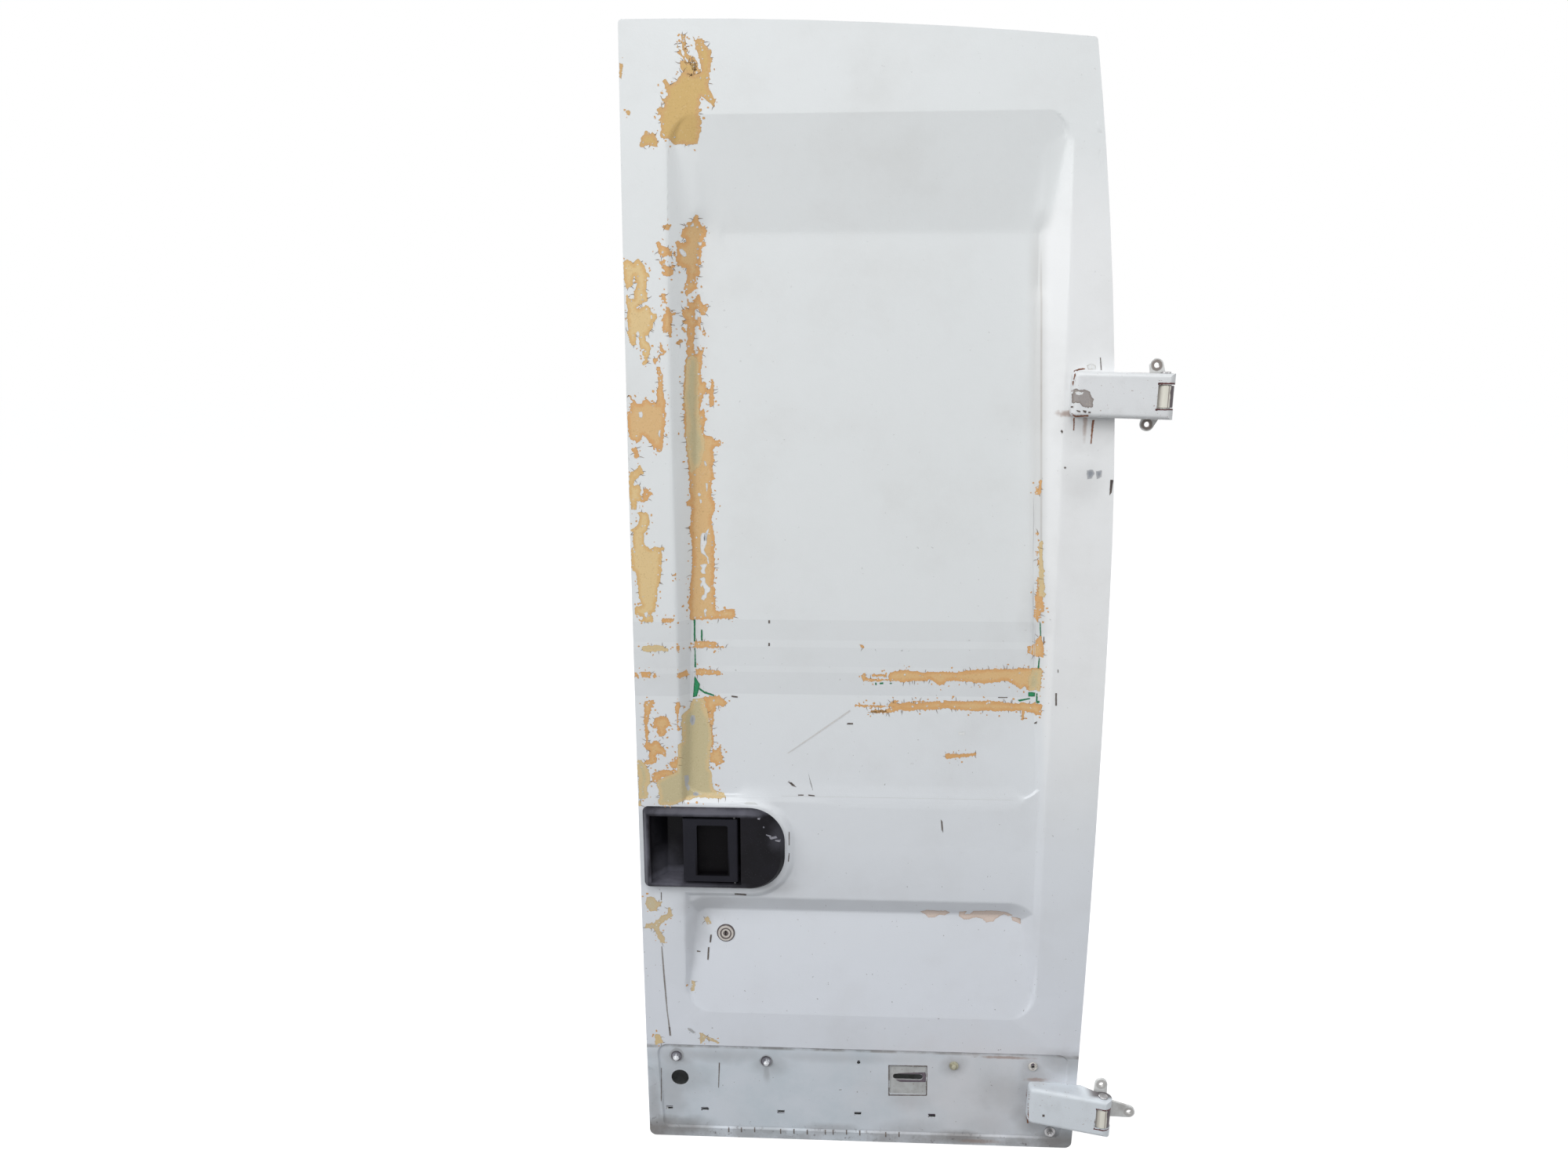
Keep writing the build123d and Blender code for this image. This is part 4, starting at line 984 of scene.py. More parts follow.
def smoothCopy(node):
    bm = bmesh.new()
    bm.from_mesh(frame["nodes"][node].data)
    bmesh.ops.remove_doubles(bm, verts=bm.verts, dist=0.00001)
    if node == "outer_skin":
        softenField(bm, creaseSet)
        markFront(bm)
    for face in bm.faces:
        face.smooth = True
        face.material_index = 0
    for edge in bm.edges:
        edge.smooth = len(edge.link_faces) == 2 and edge.calc_face_angle(0.0) < smoothAngle
    material = ownFinishes.get(node, finishes[slotOf[node]])
    piece = addPiece(node + "Shown", bm, bodyOf[node], material)
    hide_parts(node)
    return piece


shown = {node: smoothCopy(node) for node in frame["nodes"]}
print("smooth copies", len(shown))


# marks on the door: each is an outline, as pairs of mm across and mm up the leaf
markOutlines = {
    "tanTop": [
        (
            114, 1874, 117, 1868, 124, 1870, 129, 1869, 131, 1863, 135, 1859, 139, 1855, 142, 1854,
            140, 1845, 142, 1837, 140, 1828, 138, 1820, 137, 1809, 137, 1801, 141, 1794, 143, 1788,
            147, 1783, 145, 1772, 140, 1777, 135, 1781, 130, 1786, 125, 1789, 123, 1783, 123, 1777,
            121, 1771, 126, 1768, 122, 1764, 122, 1757, 126, 1750, 122, 1746, 124, 1742, 121, 1734,
            121, 1729, 119, 1720, 109, 1720, 100, 1720, 92, 1720, 85, 1719, 79, 1722, 75, 1728, 69, 1727,
            63, 1729, 62, 1734, 64, 1742, 63, 1750, 61, 1755, 63, 1761, 58, 1763, 59, 1771, 68, 1773,
            70, 1779, 68, 1782, 63, 1785, 70, 1786, 74, 1790, 73, 1797, 69, 1803, 67, 1810, 71, 1814,
            78, 1805, 84, 1807, 89, 1812, 94, 1819, 98, 1824, 104, 1821, 111, 1819, 120, 1820, 126, 1823,
            127, 1827, 125, 1836, 122, 1846, 120, 1854, 117, 1862,
        ),
        (
            95, 1877, 98, 1877, 100, 1865, 102, 1857, 107, 1848, 112, 1841, 117, 1835, 120, 1828,
            115, 1824, 109, 1834, 103, 1844, 99, 1854, 97, 1865,
        ),
        (
            101.1, 1876.6, 102.6, 1869.9, 102.6, 1860.3, 105.7, 1852.3, 104, 1851.1, 100.9, 1862,
            100.1, 1871.5,
        ),
        (
            89.3, 1867.7, 92, 1857.3, 96.4, 1850.1, 101.4, 1842.8, 106.4, 1834.7, 102.9, 1833.8,
            98, 1842.9, 93, 1850.9, 89.8, 1858.9,
        ),
        (
            94, 1837.3, 99.4, 1839.6, 107.9, 1836, 114.5, 1844.2, 119.8, 1836.9, 120.1, 1828.1,
            125.6, 1823.2, 119.6, 1819.8, 111.1, 1818.3, 102.6, 1821, 97.5, 1823.6, 94.2, 1827.7,
        ),
        (
            34.2, 1732.2, 41.2, 1738.7, 45.5, 1734.5, 51.5, 1734.5, 55.7, 1728.7, 57.3, 1722.2,
            56.3, 1715.6, 49.4, 1716.5, 40.8, 1718.3, 35.6, 1714.2, 30.4, 1716.7,
        ),
        (1.1, 1837.9, 5.9, 1835.6, 4.2, 1814.2, 0.7, 1816.5),
        (11.7, 1768.8, 16.4, 1766.5, 15.1, 1761.9, 10.3, 1763.1),
        (67.8, 1600.1, 72.4, 1600.2, 72.3, 1595.5, 68.8, 1595.4),
    ],
    "tanColumn": [
        (
            110, 1616, 115, 1616, 115, 1607, 120, 1601, 125, 1600, 128, 1594, 127, 1588, 123, 1582,
            121, 1578, 126, 1576, 126, 1571, 120, 1569, 118, 1567, 119, 1560, 118, 1552, 118, 1545,
            114, 1540, 116, 1531, 114, 1523, 110, 1524, 111, 1517, 114, 1515, 110, 1512, 111, 1506,
            105, 1503, 100, 1498, 95, 1497, 96, 1504, 93, 1506, 94, 1512, 97, 1515, 97, 1525, 97, 1536,
            92, 1537, 85, 1541, 82, 1548, 84, 1559, 83, 1569, 82, 1575, 85, 1578, 88, 1574, 93, 1573,
            97, 1576, 95, 1581, 91, 1582, 90, 1586, 92, 1593, 95, 1601, 100, 1606, 106, 1607, 109, 1612,
        ),
        (
            112, 1497, 116, 1497, 117, 1487, 119, 1482, 123, 1480, 128, 1482, 129, 1478, 126, 1472,
            123, 1465, 118, 1465, 116, 1470, 112, 1475, 109, 1472, 108, 1467, 108, 1459, 111, 1456,
            114, 1461, 117, 1461, 117, 1453, 116, 1440, 114, 1447, 110, 1449, 108, 1447, 107, 1435,
            105, 1422, 105, 1410, 106, 1404, 110, 1405, 112, 1410, 109, 1417, 116, 1410, 118, 1409,
            118, 1415, 122, 1415, 121, 1410, 119, 1405, 116, 1394, 119, 1389, 115, 1377, 117, 1367,
            118, 1359, 120, 1361, 124, 1358, 123, 1351, 126, 1348, 130, 1350, 133, 1364, 136, 1361,
            136, 1344, 136, 1323, 129, 1322, 128, 1340, 123, 1344, 118, 1338, 117, 1327, 112, 1316,
            114, 1313, 119, 1318, 120, 1309, 123, 1302, 120, 1292, 120, 1284, 119, 1280, 124, 1273,
            131, 1272, 138, 1267, 144, 1269, 146, 1266, 146, 1259, 136, 1258, 134, 1252, 135, 1240,
            134, 1229, 131, 1225, 134, 1221, 134, 1205, 130, 1202, 130, 1191, 131, 1182, 129, 1176,
            133, 1170, 136, 1164, 134, 1155, 133, 1146, 131, 1138, 130, 1131, 133, 1127, 133, 1114,
            133, 1112, 135, 1101, 133, 1084, 134, 1064, 133, 1046, 132, 1029, 134, 1020, 132, 1011,
            134, 998, 136, 986, 143, 985, 147, 988, 167, 990, 166, 976, 159, 972, 154, 975, 143, 973,
            127, 972, 93, 972, 93, 986, 92, 998, 90, 1002, 93, 1012, 94, 1023, 94, 1030, 96, 1038,
            95, 1045, 97, 1060, 98, 1077, 97, 1095, 98, 1103, 96, 1112, 95, 1115, 94, 1121, 96, 1134,
            98, 1149, 97, 1161, 91, 1162, 90, 1168, 94, 1172, 97, 1172, 96, 1183, 96, 1196, 95, 1207,
            96, 1215, 94, 1228, 94, 1238, 92, 1253, 92, 1266, 89, 1276, 90, 1289, 89, 1301, 91, 1312,
            88, 1322, 90, 1334, 89, 1345, 89, 1359, 92, 1369, 91, 1384, 93, 1394, 96, 1402, 95, 1412,
            94, 1420, 96, 1426, 96, 1443, 96, 1449, 90, 1453, 90, 1456, 95, 1457, 90, 1461, 90, 1471,
            94, 1476, 96, 1477, 99, 1473, 100, 1477, 97, 1483, 97, 1491, 100, 1484, 107, 1485, 108, 1491,
        ),
        (118.7, 1439.3, 123.2, 1440.1, 124.9, 1434.9, 123.1, 1430.5, 119.5, 1434.9),
        (82, 1421, 85.3, 1425.3, 89.3, 1425.3, 86.8, 1421),
        (88.1, 1446.9, 91.3, 1444.4, 94.4, 1438.3, 91.2, 1439.2),
    ],
    "khakiColumn": [
        (
            95, 1394, 98, 1400, 104, 1402, 109, 1398, 112, 1386, 111, 1369, 112, 1359, 110, 1344,
            111, 1332, 111, 1319, 112, 1307, 114, 1294, 116, 1280, 120, 1271, 120, 1256, 117, 1244,
            115, 1231, 109, 1223, 103, 1219, 98, 1215, 96, 1228, 94, 1245, 93, 1260, 91, 1276, 92, 1295,
            92, 1312, 90, 1332, 91, 1355, 93, 1369, 93, 1384,
        ),
    ],
    "whiteFlecks": [
        (119.1, 1234.4, 121.4, 1233.3, 123.9, 1227, 121.3, 1225.3, 119.3, 1229.1),
        (107.7, 1180.6, 110.5, 1182.3, 113.5, 1179.8, 112.1, 1176.6, 108.7, 1176.8),
        (110.8, 1171.7, 113.6, 1170.6, 114.6, 1166.3, 112, 1164.8),
        (121.4, 1198.3, 124.6, 1197.3, 124.1, 1188.8, 122.3, 1182.4, 121.8, 1190.9),
        (
            116, 1108.3, 118.2, 1113.7, 123.7, 1122.4, 125.9, 1123.4, 123.6, 1115.9, 121.3, 1102.9,
            117, 1102.9,
        ),
        (
            112, 1112, 115, 1116, 122, 1116, 122, 1103, 120, 1095, 117, 1088, 120, 1081, 124, 1076,
            125, 1065, 123, 1066, 122, 1075, 117, 1080, 112, 1083, 111, 1096,
        ),
        (
            110, 1062.7, 117.6, 1064.9, 121.9, 1063.9, 119.7, 1059.5, 117.4, 1054, 119.5, 1048.6,
            114.1, 1048.5, 110.9, 1052.9, 113.2, 1058.3,
        ),
        (
            109, 1039.7, 116.2, 1043.1, 118.3, 1040.9, 118.3, 1034.3, 122.5, 1028.9, 126.8, 1024.6,
            125.7, 1019.1, 121.3, 1015.7, 120.1, 1009.1, 115.7, 1003.6, 111.4, 1005.8, 112.5, 1011.3,
            116.9, 1014.6, 117, 1022.3, 113.9, 1028.8, 111.6, 1025.5, 109.5, 1029.9, 112.9, 1035.4,
        ),
        (115.5, 987.1, 117.7, 990.4, 120.9, 987.1, 118.7, 982.7, 119.7, 976, 116.9, 976),
        (86.8, 1564.7, 90.8, 1565.7, 96.3, 1559.2, 97.1, 1555, 93, 1553.1, 87.5, 1558.8),
        (113.1, 1576.1, 120.5, 1577.1, 119.2, 1571.7, 115.2, 1572),
        (111.5, 1554.8, 114.1, 1555.7, 115.8, 1552.9, 114.1, 1550.5, 112.1, 1551.4),
        (109.5, 1542.8, 112, 1544.1, 113.6, 1541.9, 111.6, 1540.1),
        (102.6, 1600.1, 107.6, 1605.4, 108.6, 1601.2, 105.1, 1599.2),
        (96, 1599.7, 97.8, 1602.8, 99.9, 1600.7, 98.3, 1598.1),
        (18.9, 1313.7, 24.2, 1314.7, 25.7, 1309.6, 23.9, 1304.4, 19.8, 1306.5),
        (50.8, 1284.8, 53.9, 1285.9, 52.7, 1278.6, 53.7, 1273.4, 50.5, 1275.5, 49.6, 1279.7),
        (18.1, 1436.7, 21.3, 1439.7, 23.3, 1436.6, 22.8, 1430.6, 20.1, 1429.6),
        (20.3, 987.2, 24.7, 989.4, 25.7, 985, 23.3, 978.4, 20.2, 981.7),
        (41.7, 1464.2, 43.8, 1463.8, 44.1, 1459, 42, 1458.6),
        (539.6, 783.4, 551.3, 784.9, 551.4, 779.5, 541, 779.3),
    ],
    "khakiLeft": [
        (
            0, 1541, 0, 1545, 6, 1547, 12, 1546, 16, 1542, 20, 1548, 25, 1549, 31, 1543, 33, 1538,
            36, 1530, 41, 1526, 42, 1522, 37, 1523, 36, 1510, 35, 1502, 36, 1494, 37, 1486, 28, 1483,
            25, 1479, 19, 1476, 21, 1472, 29, 1477, 36, 1479, 41, 1475, 44, 1467, 49, 1467, 52, 1461,
            48, 1455, 45, 1453, 45, 1445, 40, 1441, 38, 1434, 33, 1433, 33, 1425, 38, 1420, 40, 1414,
            38, 1404, 35, 1398, 34, 1390, 27, 1388, 31, 1396, 29, 1402, 27, 1407, 31, 1412, 25, 1414,
            23, 1425, 21, 1430, 18, 1435, 17, 1419, 12, 1418, 8, 1423, 6, 1435, 3, 1439, 6, 1441, 5, 1451,
            4, 1463, 6, 1471, 4, 1479, 3, 1487, 5, 1496, 7, 1491, 11, 1488, 17, 1489, 16, 1497, 19, 1504,
            22, 1512, 19, 1518, 17, 1524, 15, 1516, 14, 1510, 7, 1505, 4, 1505, 2, 1514, 2, 1522, 1, 1532,
        ),
        (
            18, 1230, 23, 1223, 24, 1216, 20, 1217, 16, 1210, 9, 1204, 7, 1199, 10, 1196, 15, 1199,
            19, 1195, 20, 1188, 18, 1183, 20, 1177, 15, 1171, 12, 1172, 12, 1158, 3, 1158, 3, 1171,
            0, 1179, 1, 1190, 1, 1200, 0, 1212, 4, 1217, 10, 1221, 16, 1226,
        ),
        (
            14, 1153, 19, 1154, 29, 1152, 32, 1143, 31, 1135, 28, 1124, 24, 1120, 22, 1118, 22, 1107,
            24, 1099, 29, 1097, 32, 1094, 37, 1096, 44, 1097, 56, 1096, 56, 1093, 53, 1092, 50, 1092,
            52, 1084, 50, 1075, 50, 1064, 49, 1051, 46, 1038, 43, 1029, 43, 1016, 39, 1003, 37, 993,
            39, 990, 32, 988, 31, 985, 35, 973, 24, 972, 13, 973, 18, 980, 10, 983, 4, 985, 4, 996,
            11, 998, 17, 1000, 14, 1009, 12, 1011, 12, 1020, 11, 1029, 9, 1042, 8, 1053, 4, 1059, 1, 1065,
            1, 1076, 0, 1087, 5, 1100, 4, 1111, 6, 1120, 0, 1124, 6, 1127, 11, 1131, 16, 1139, 16, 1147,
        ),
    ],
    "tanLeft": [
        (63.7, 1597.4, 69.8, 1599.9, 76.2, 1601.1, 74.6, 1596.8, 72.1, 1592.5, 67.1, 1594.1),
        (
            52.6, 1574.2, 56.7, 1576.2, 61.7, 1569.3, 67.7, 1566.3, 71.6, 1566.4, 72.5, 1559.6,
            76.2, 1561.7, 76.1, 1554.8, 69.5, 1554.6, 64.4, 1552, 58.3, 1554.6, 55.5, 1563.4, 53.5, 1568.4,
        ),
        (
            56.2, 1548.7, 59.2, 1544.8, 64.3, 1547.7, 66.2, 1538.8, 73, 1536, 77.7, 1541.1, 78.6, 1537.2,
            74.8, 1534.1, 79.4, 1533.3, 75.6, 1525.2, 68, 1523.1, 60.9, 1527, 65.1, 1531, 60, 1536.9,
            63.1, 1537.9, 57.1, 1542.8,
        ),
        (60.3, 1497.4, 64.4, 1495.4, 66.3, 1486.4, 67.6, 1478.5, 63.2, 1486.4, 59.1, 1488.4, 60.2, 1493.4),
        (
            66, 1478, 70, 1476, 75, 1467, 80, 1469, 80, 1465, 74, 1463, 74, 1457, 72, 1450, 73, 1444,
            74, 1442, 74, 1430, 70, 1430, 69, 1438, 63, 1438, 59, 1440, 62, 1446, 62, 1454, 58, 1456,
            62, 1458, 62, 1464, 65, 1468,
        ),
        (
            55.7, 1422.5, 57.7, 1416.4, 61.7, 1410.4, 64.7, 1407.3, 58.4, 1403.3, 53.2, 1400.3,
            48.9, 1394.2, 46.7, 1388.2, 44.8, 1393.2, 43.8, 1397.3, 52.1, 1399.3, 56.4, 1406.3,
            54.5, 1414.4,
        ),
        (
            49, 1385, 55, 1385, 57, 1378, 59, 1370, 58, 1358, 58, 1353, 60, 1343, 61, 1333, 62, 1331,
            61, 1319, 62, 1306, 60, 1296, 59, 1282, 57, 1267, 56, 1261, 54, 1252, 51, 1250, 46, 1252,
            47, 1257, 41, 1258, 39, 1265, 36, 1267, 30, 1273, 24, 1278, 19, 1268, 14, 1268, 11, 1270,
            6, 1270, 3, 1278, 2, 1288, 1, 1294, 1, 1302, 0, 1314, 5, 1314, 7, 1321, 6, 1325, 9, 1330,
            4, 1341, 11, 1334, 17, 1328, 23, 1326, 26, 1332, 33, 1334, 38, 1328, 44, 1328, 46, 1328,
            51, 1326, 49, 1331, 50, 1337, 48, 1341, 49, 1348, 52, 1352, 51, 1358, 52, 1368, 49, 1377,
        ),
        (6.7, 1256.8, 14.2, 1257.8, 15, 1250.5, 19.1, 1245.3, 18.6, 1240.1, 11.6, 1242.2, 9.7, 1248.4),
        (
            23, 1190.8, 29.4, 1191.9, 31.4, 1186.6, 37.8, 1185.6, 39.8, 1181.4, 33.4, 1182.4, 31.1, 1171.8,
            20.4, 1170.7, 17.3, 1173.9, 22.7, 1177.1,
        ),
        (1.2, 885.6, 4.2, 885.7, 6.9, 879, 0.1, 878.2),
        (81.3, 1421.4, 85.1, 1424.4, 88.9, 1426.9, 89.3, 1423.4, 86, 1420.4, 82.2, 1419.4),
        (49.1, 977.6, 52.4, 979.1, 58.8, 977.7, 69.2, 977.1, 67.4, 972.2, 53.3, 971, 49, 972),
        (71.8, 931.2, 76.8, 929.8, 75.8, 925.2, 72.7, 922.2),
        (
            100, 934, 133, 934, 137, 930, 133, 926, 142, 926, 152, 924, 99, 923, 96, 924, 90, 924, 90, 927,
            94, 925, 99, 926,
        ),
        (10.8, 885.8, 15.2, 886.9, 27.2, 886, 28.2, 880.3, 25.9, 876.9, 12.7, 876.8),
        (32.2, 884.9, 35.9, 884.9, 36.9, 878.2, 32.4, 877),
        (
            72.8, 877.4, 73.6, 884.1, 78.9, 885.9, 85.7, 886, 88.4, 880.2, 91.2, 877.1, 83.6, 877.1,
            75.9, 876.3,
        ),
        (100, 887, 109, 888, 120, 886, 133, 885, 142, 883, 142, 878, 126, 877, 101, 877),
        (65.8, 1048.8, 73.3, 1054.1, 73.8, 1049.7, 69, 1048.8),
        (71.1, 1045.5, 73.7, 1046.4, 73.4, 1041),
        (
            16, 836, 32, 838, 32, 833, 28, 832, 31, 825, 27, 825, 24, 814, 22, 801, 20, 794, 21, 778,
            20, 765, 24, 761, 29, 764, 35, 767, 39, 765, 41, 757, 46, 755, 49, 746, 50, 738, 43, 742,
            36, 744, 32, 741, 33, 729, 26, 725, 19, 724, 12, 726, 21, 734, 22, 740, 24, 748, 16, 750,
            13, 757, 15, 761, 17, 768, 16, 778, 15, 791, 15, 814,
        ),
        (
            32.8, 805.3, 41.7, 809.6, 52.7, 809.8, 55.8, 803.4, 57.9, 796.5, 61.1, 792, 55.6, 793.1,
            49.9, 787.2, 52, 782.6, 47.4, 774.5, 39.6, 773.2, 36.5, 778.9, 35.6, 787, 29, 790.3,
            31.4, 796.1, 29.3, 798.4,
        ),
        (70, 834, 75, 836, 75, 828, 72, 810, 72, 791, 77, 789, 71, 785, 70, 794, 70, 810, 68, 824),
        (
            110, 837, 128, 840, 139, 840, 147, 835, 151, 828, 146, 822, 139, 824, 134, 824, 131, 810,
            129, 801, 127, 790, 128, 774, 129, 758, 126, 748, 124, 755, 125, 774, 123, 790, 121, 803,
            119, 816, 114, 824, 117, 830,
        ),
        (
            125.6, 740.2, 126.8, 747.2, 133.5, 746.1, 138, 750.8, 141.4, 756.6, 141.3, 746.2, 144.5, 737.1,
            143.3, 730.2, 146.6, 724.4, 137.7, 719.7, 132.1, 717.3, 131, 723, 123.2, 724.1, 122.2, 732.1,
        ),
        (23, 705, 30, 710, 46, 714, 58, 714, 65, 717, 68, 711, 57, 706, 41, 700, 33, 692, 29, 694, 24, 701),
        (
            54, 725.9, 56.3, 729.4, 64.1, 730.7, 65.3, 737.7, 72, 737.8, 70.5, 722.6, 64.9, 717.9,
            59.3, 718.9,
        ),
    ],
    "tanBars": [
        (
            422, 877, 425, 885, 450, 889, 474, 886, 509, 886, 534, 886, 560, 891, 590, 892, 633, 893,
            672, 896, 675, 893, 672, 883, 672, 858, 655, 857, 647, 864, 640, 858, 634, 866, 627, 868,
            616, 874, 602, 871, 582, 868, 561, 870, 544, 871, 528, 873, 518, 870, 514, 865, 504, 865,
            496, 871, 490, 873, 470, 871, 457, 871, 449, 868, 438, 871, 427, 870, 424, 870,
        ),
        (376, 879, 384, 883, 384, 874, 401, 873, 422, 873, 422, 870, 392, 870, 380, 871),
        (394.3, 880.3, 418.1, 880.6, 419, 878.4, 394.8, 877.6),
        (
            428, 835, 438, 832, 454, 834, 473, 832, 497, 836, 514, 834, 516, 837, 557, 837, 592, 838,
            626, 835, 661, 835, 673, 834, 675, 830, 675, 816, 666, 816, 661, 820, 648, 822, 646, 806,
            644, 806, 644, 823, 610, 821, 575, 821, 549, 822, 516, 824, 501, 822, 475, 822, 458, 819,
            441, 820, 423, 816, 406, 816, 388, 815, 393, 818, 419, 820, 432, 826, 410, 825, 375, 826,
            367, 828, 393, 828, 423, 828,
        ),
        (427.4, 836.4, 440.5, 836.1, 435.3, 832.4),
        (462.1, 837.7, 484.7, 834.9, 464.8, 833.7),
        (
            661, 1048, 663, 1048, 664, 1019, 670, 1016, 671, 992, 668, 992, 664, 973, 657, 983, 660, 999,
            658, 1012, 661, 1019,
        ),
        (
            660, 1206, 661.5, 1204.1, 660.8, 1181.8, 652.7, 1181, 653.3, 1186.5, 658, 1189.1,
            652.3, 1192.8, 657.7, 1197.5,
        ),
        (656, 1119.9, 659.6, 1120.4, 659.7, 1117.8, 656.4, 1117.4),
        (659.6, 1109.7, 662.2, 1109.7, 662, 1106.7, 659.7, 1106.8),
        (660, 1097.8, 662.6, 1097.8, 662.4, 1094.8, 660.2, 1094.9),
        (658.5, 1089.5, 660.4, 1088.9, 659.9, 1082, 658.4, 1082.6),
        (659.3, 1076.7, 662.3, 1076.3, 663.3, 1068.8, 660.3, 1069.1),
        (
            669.3, 952.6, 671.1, 944.2, 673.3, 933.7, 674.7, 916.4, 661.9, 916.5, 651.3, 918.8,
            648.4, 916.1, 650.9, 930.7, 661.2, 935.4, 662.8, 944.5,
        ),
        (373.4, 932.1, 376.9, 931.3, 382.1, 927.3, 380.4, 925.5, 375.2, 928.1),
        (520, 746, 540, 745, 570, 748, 569, 744, 551, 741, 538, 740, 529, 737, 520, 739),
        (388.9, 816.5, 419, 819.6, 419, 816.9, 389, 815.1),
    ],
    "khakiBars": [
        (658.6, 891.9, 674, 894.5, 672.1, 883.4, 671.6, 857.7, 654.7, 857.7, 653.5, 879.9),
        (662, 1105, 666, 1108, 668, 1074, 670, 1053, 672, 1016, 664, 1018, 663, 1056),
    ],
    "tanFoot": [
        (
            9.5, 479.7, 21.8, 480.1, 27.1, 471.2, 38, 471.5, 29.5, 462.3, 25.2, 453.2, 12.8, 452.9,
            7.6, 464.8,
        ),
        (
            46, 461, 50, 460, 52, 445, 43, 437, 33, 429, 28, 419, 38, 404, 39, 392, 30, 392, 25, 411,
            20, 420, 5, 420, 6, 430, 20, 429, 32, 441, 44, 449,
        ),
        (105.2, 426.6, 112.2, 431, 117.7, 418.4, 110.7, 416.9),
        (82.6, 315.6, 88.2, 312.8, 88.1, 297.1, 82.6, 295.7),
        (96.9, 216.2, 109.4, 208.6, 103.6, 198.9, 96.4, 193.8),
        (109.4, 208.6, 131.7, 198.2, 130.3, 194.9, 109.3, 203.8),
    ],
    "khakiFoot": [
        (15, 925, 19, 931, 30, 932, 50, 932, 52, 928, 57, 927, 58, 922, 49, 923, 34, 922, 17, 922),
        (
            96, 835, 110, 837, 117, 830, 114, 824, 119, 816, 121, 803, 123, 790, 125, 778, 126, 764,
            125, 751, 123, 737, 121, 725, 120, 714, 124, 707, 126, 700, 126, 684, 129, 677, 137, 672,
            146, 669, 150, 664, 142, 662, 117, 663, 100, 663, 84, 659, 69, 657, 62, 652, 35, 652, 34, 656,
            37, 668, 36, 680, 32, 687, 33, 692, 41, 700, 57, 706, 68, 711, 70, 732, 70, 746, 70, 760,
            76, 762, 78, 770, 77, 789, 78, 809, 82, 815, 90, 819, 92, 828,
        ),
        (
            1, 733, 6, 732, 15, 723, 19, 715, 22, 705, 21, 691, 16, 684, 16, 675, 18, 663, 2, 662, 2, 682,
            2, 700, 1, 717,
        ),
        (16.4, 210.4, 23.4, 210.7, 30, 193.3, 15.7, 189.6),
        (0.1, 660.1, 5.4, 657.4, 5.2, 648.8, 1.1, 648.7),
    ],
    "greenMarks": [
        (98.4, 874.9, 107.4, 860.2, 101.9, 839.7, 95.2, 838.3),
        (104.7, 856.1, 115.2, 848.1, 131, 842.8, 131, 840.1, 113.9, 845.3, 103.4, 853.3),
        (98.5, 971.5, 101.1, 971.4, 100.6, 934.1, 97.9, 934.1),
        (99.1, 923.4, 100.4, 923.4, 101.2, 889.8, 98.6, 889.8),
        (110, 954.2, 112.7, 954.3, 112.4, 935.6, 109.8, 935.5),
        (653.5, 854.1, 664.9, 853.7, 664.4, 846.9, 653.8, 846.5),
        (666.1, 852.6, 668, 853.2, 668.4, 840.2, 671.4, 841.1, 671.2, 837.4, 666.7, 836.1),
        (636.8, 840.5, 656, 844.3, 656.9, 842.1, 639, 837.9),
        (666.7, 973.1, 668.5, 972.6, 669.7, 951.4, 668.2, 951),
        (667.7, 913.4, 669.2, 913.7, 668.7, 895.8, 666.8, 895.4),
        (400.5, 867, 402.7, 867, 402.8, 863, 400.6, 863),
        (408.3, 867.1, 414, 867.6, 414, 864.9, 408.4, 864.4),
        (424.8, 866.8, 428.3, 866.9, 427.9, 865.1, 424.8, 865),
    ],
    "darkMarks": [
        (34.4, 489.3, 35.8, 489.3, 35.4, 474.4, 34, 474.4),
        (116.3, 398.6, 119.1, 398.7, 117.6, 384.5, 114.9, 384.4),
        (112.1, 375.9, 114.8, 376, 113.4, 353.2, 110.6, 353.2),
        (92.5, 369.7, 99.5, 368.5, 98.1, 367, 92.5, 366.9),
        (256.5, 605.3, 257.8, 604.9, 257.8, 581.1, 256.5, 581.6),
        (256.5, 567.1, 257.8, 566.8, 256.4, 551.2, 255.1, 551.4),
        (272.3, 670.3, 281.6, 670.5, 281.7, 668.4, 272.3, 668.3),
        (289.6, 670.6, 300.2, 669.6, 300.3, 667.6, 289.6, 668.5),
        (162.7, 490.6, 183, 489.3, 182.5, 483.8, 162.2, 485.8),
        (254.9, 692.3, 261.6, 691, 269.6, 682.8, 261.6, 685.4),
        (288.2, 715, 290.8, 702.6, 297.5, 677.7, 293.5, 688.8),
        (222.6, 971.3, 225.2, 971.3, 225.2, 966, 222.6, 966),
        (222.5, 932.7, 225.1, 932.8, 225, 927.4, 222.4, 927.4),
        (160.1, 841.9, 170.7, 840.6, 170.7, 837.9, 160.1, 839.1),
        (355, 797, 364.2, 797.1, 364.3, 794.4, 353.8, 794.2),
        (664.8, 801.5, 669.4, 805.1, 668.4, 800.7, 664.8, 800.1),
        (604, 845, 619.5, 845.2, 619.5, 843.9, 604.1, 843.6),
        (694.1, 858.7, 696.6, 858.7, 697.6, 837.3, 695, 837.3),
        (696.1, 898.7, 697.4, 898.7, 697.6, 893.4, 696.3, 893.4),
        (514.1, 630.6, 516.9, 626.4, 518.7, 606.5, 515.9, 612.1),
        (129, 154, 131, 154, 128, 102, 127, 102),
        (24, 139, 25, 140, 23, 72, 22, 72),
        (40.8, 225.5, 43.6, 225.6, 43.1, 208.1, 41.7, 208.1),
        (740, 1397.5, 741.2, 1397.4, 743.3, 1378.4, 742.1, 1378.4),
        (764.7, 1208.5, 769.6, 1208.5, 768.1, 1188.7, 764.7, 1183.7),
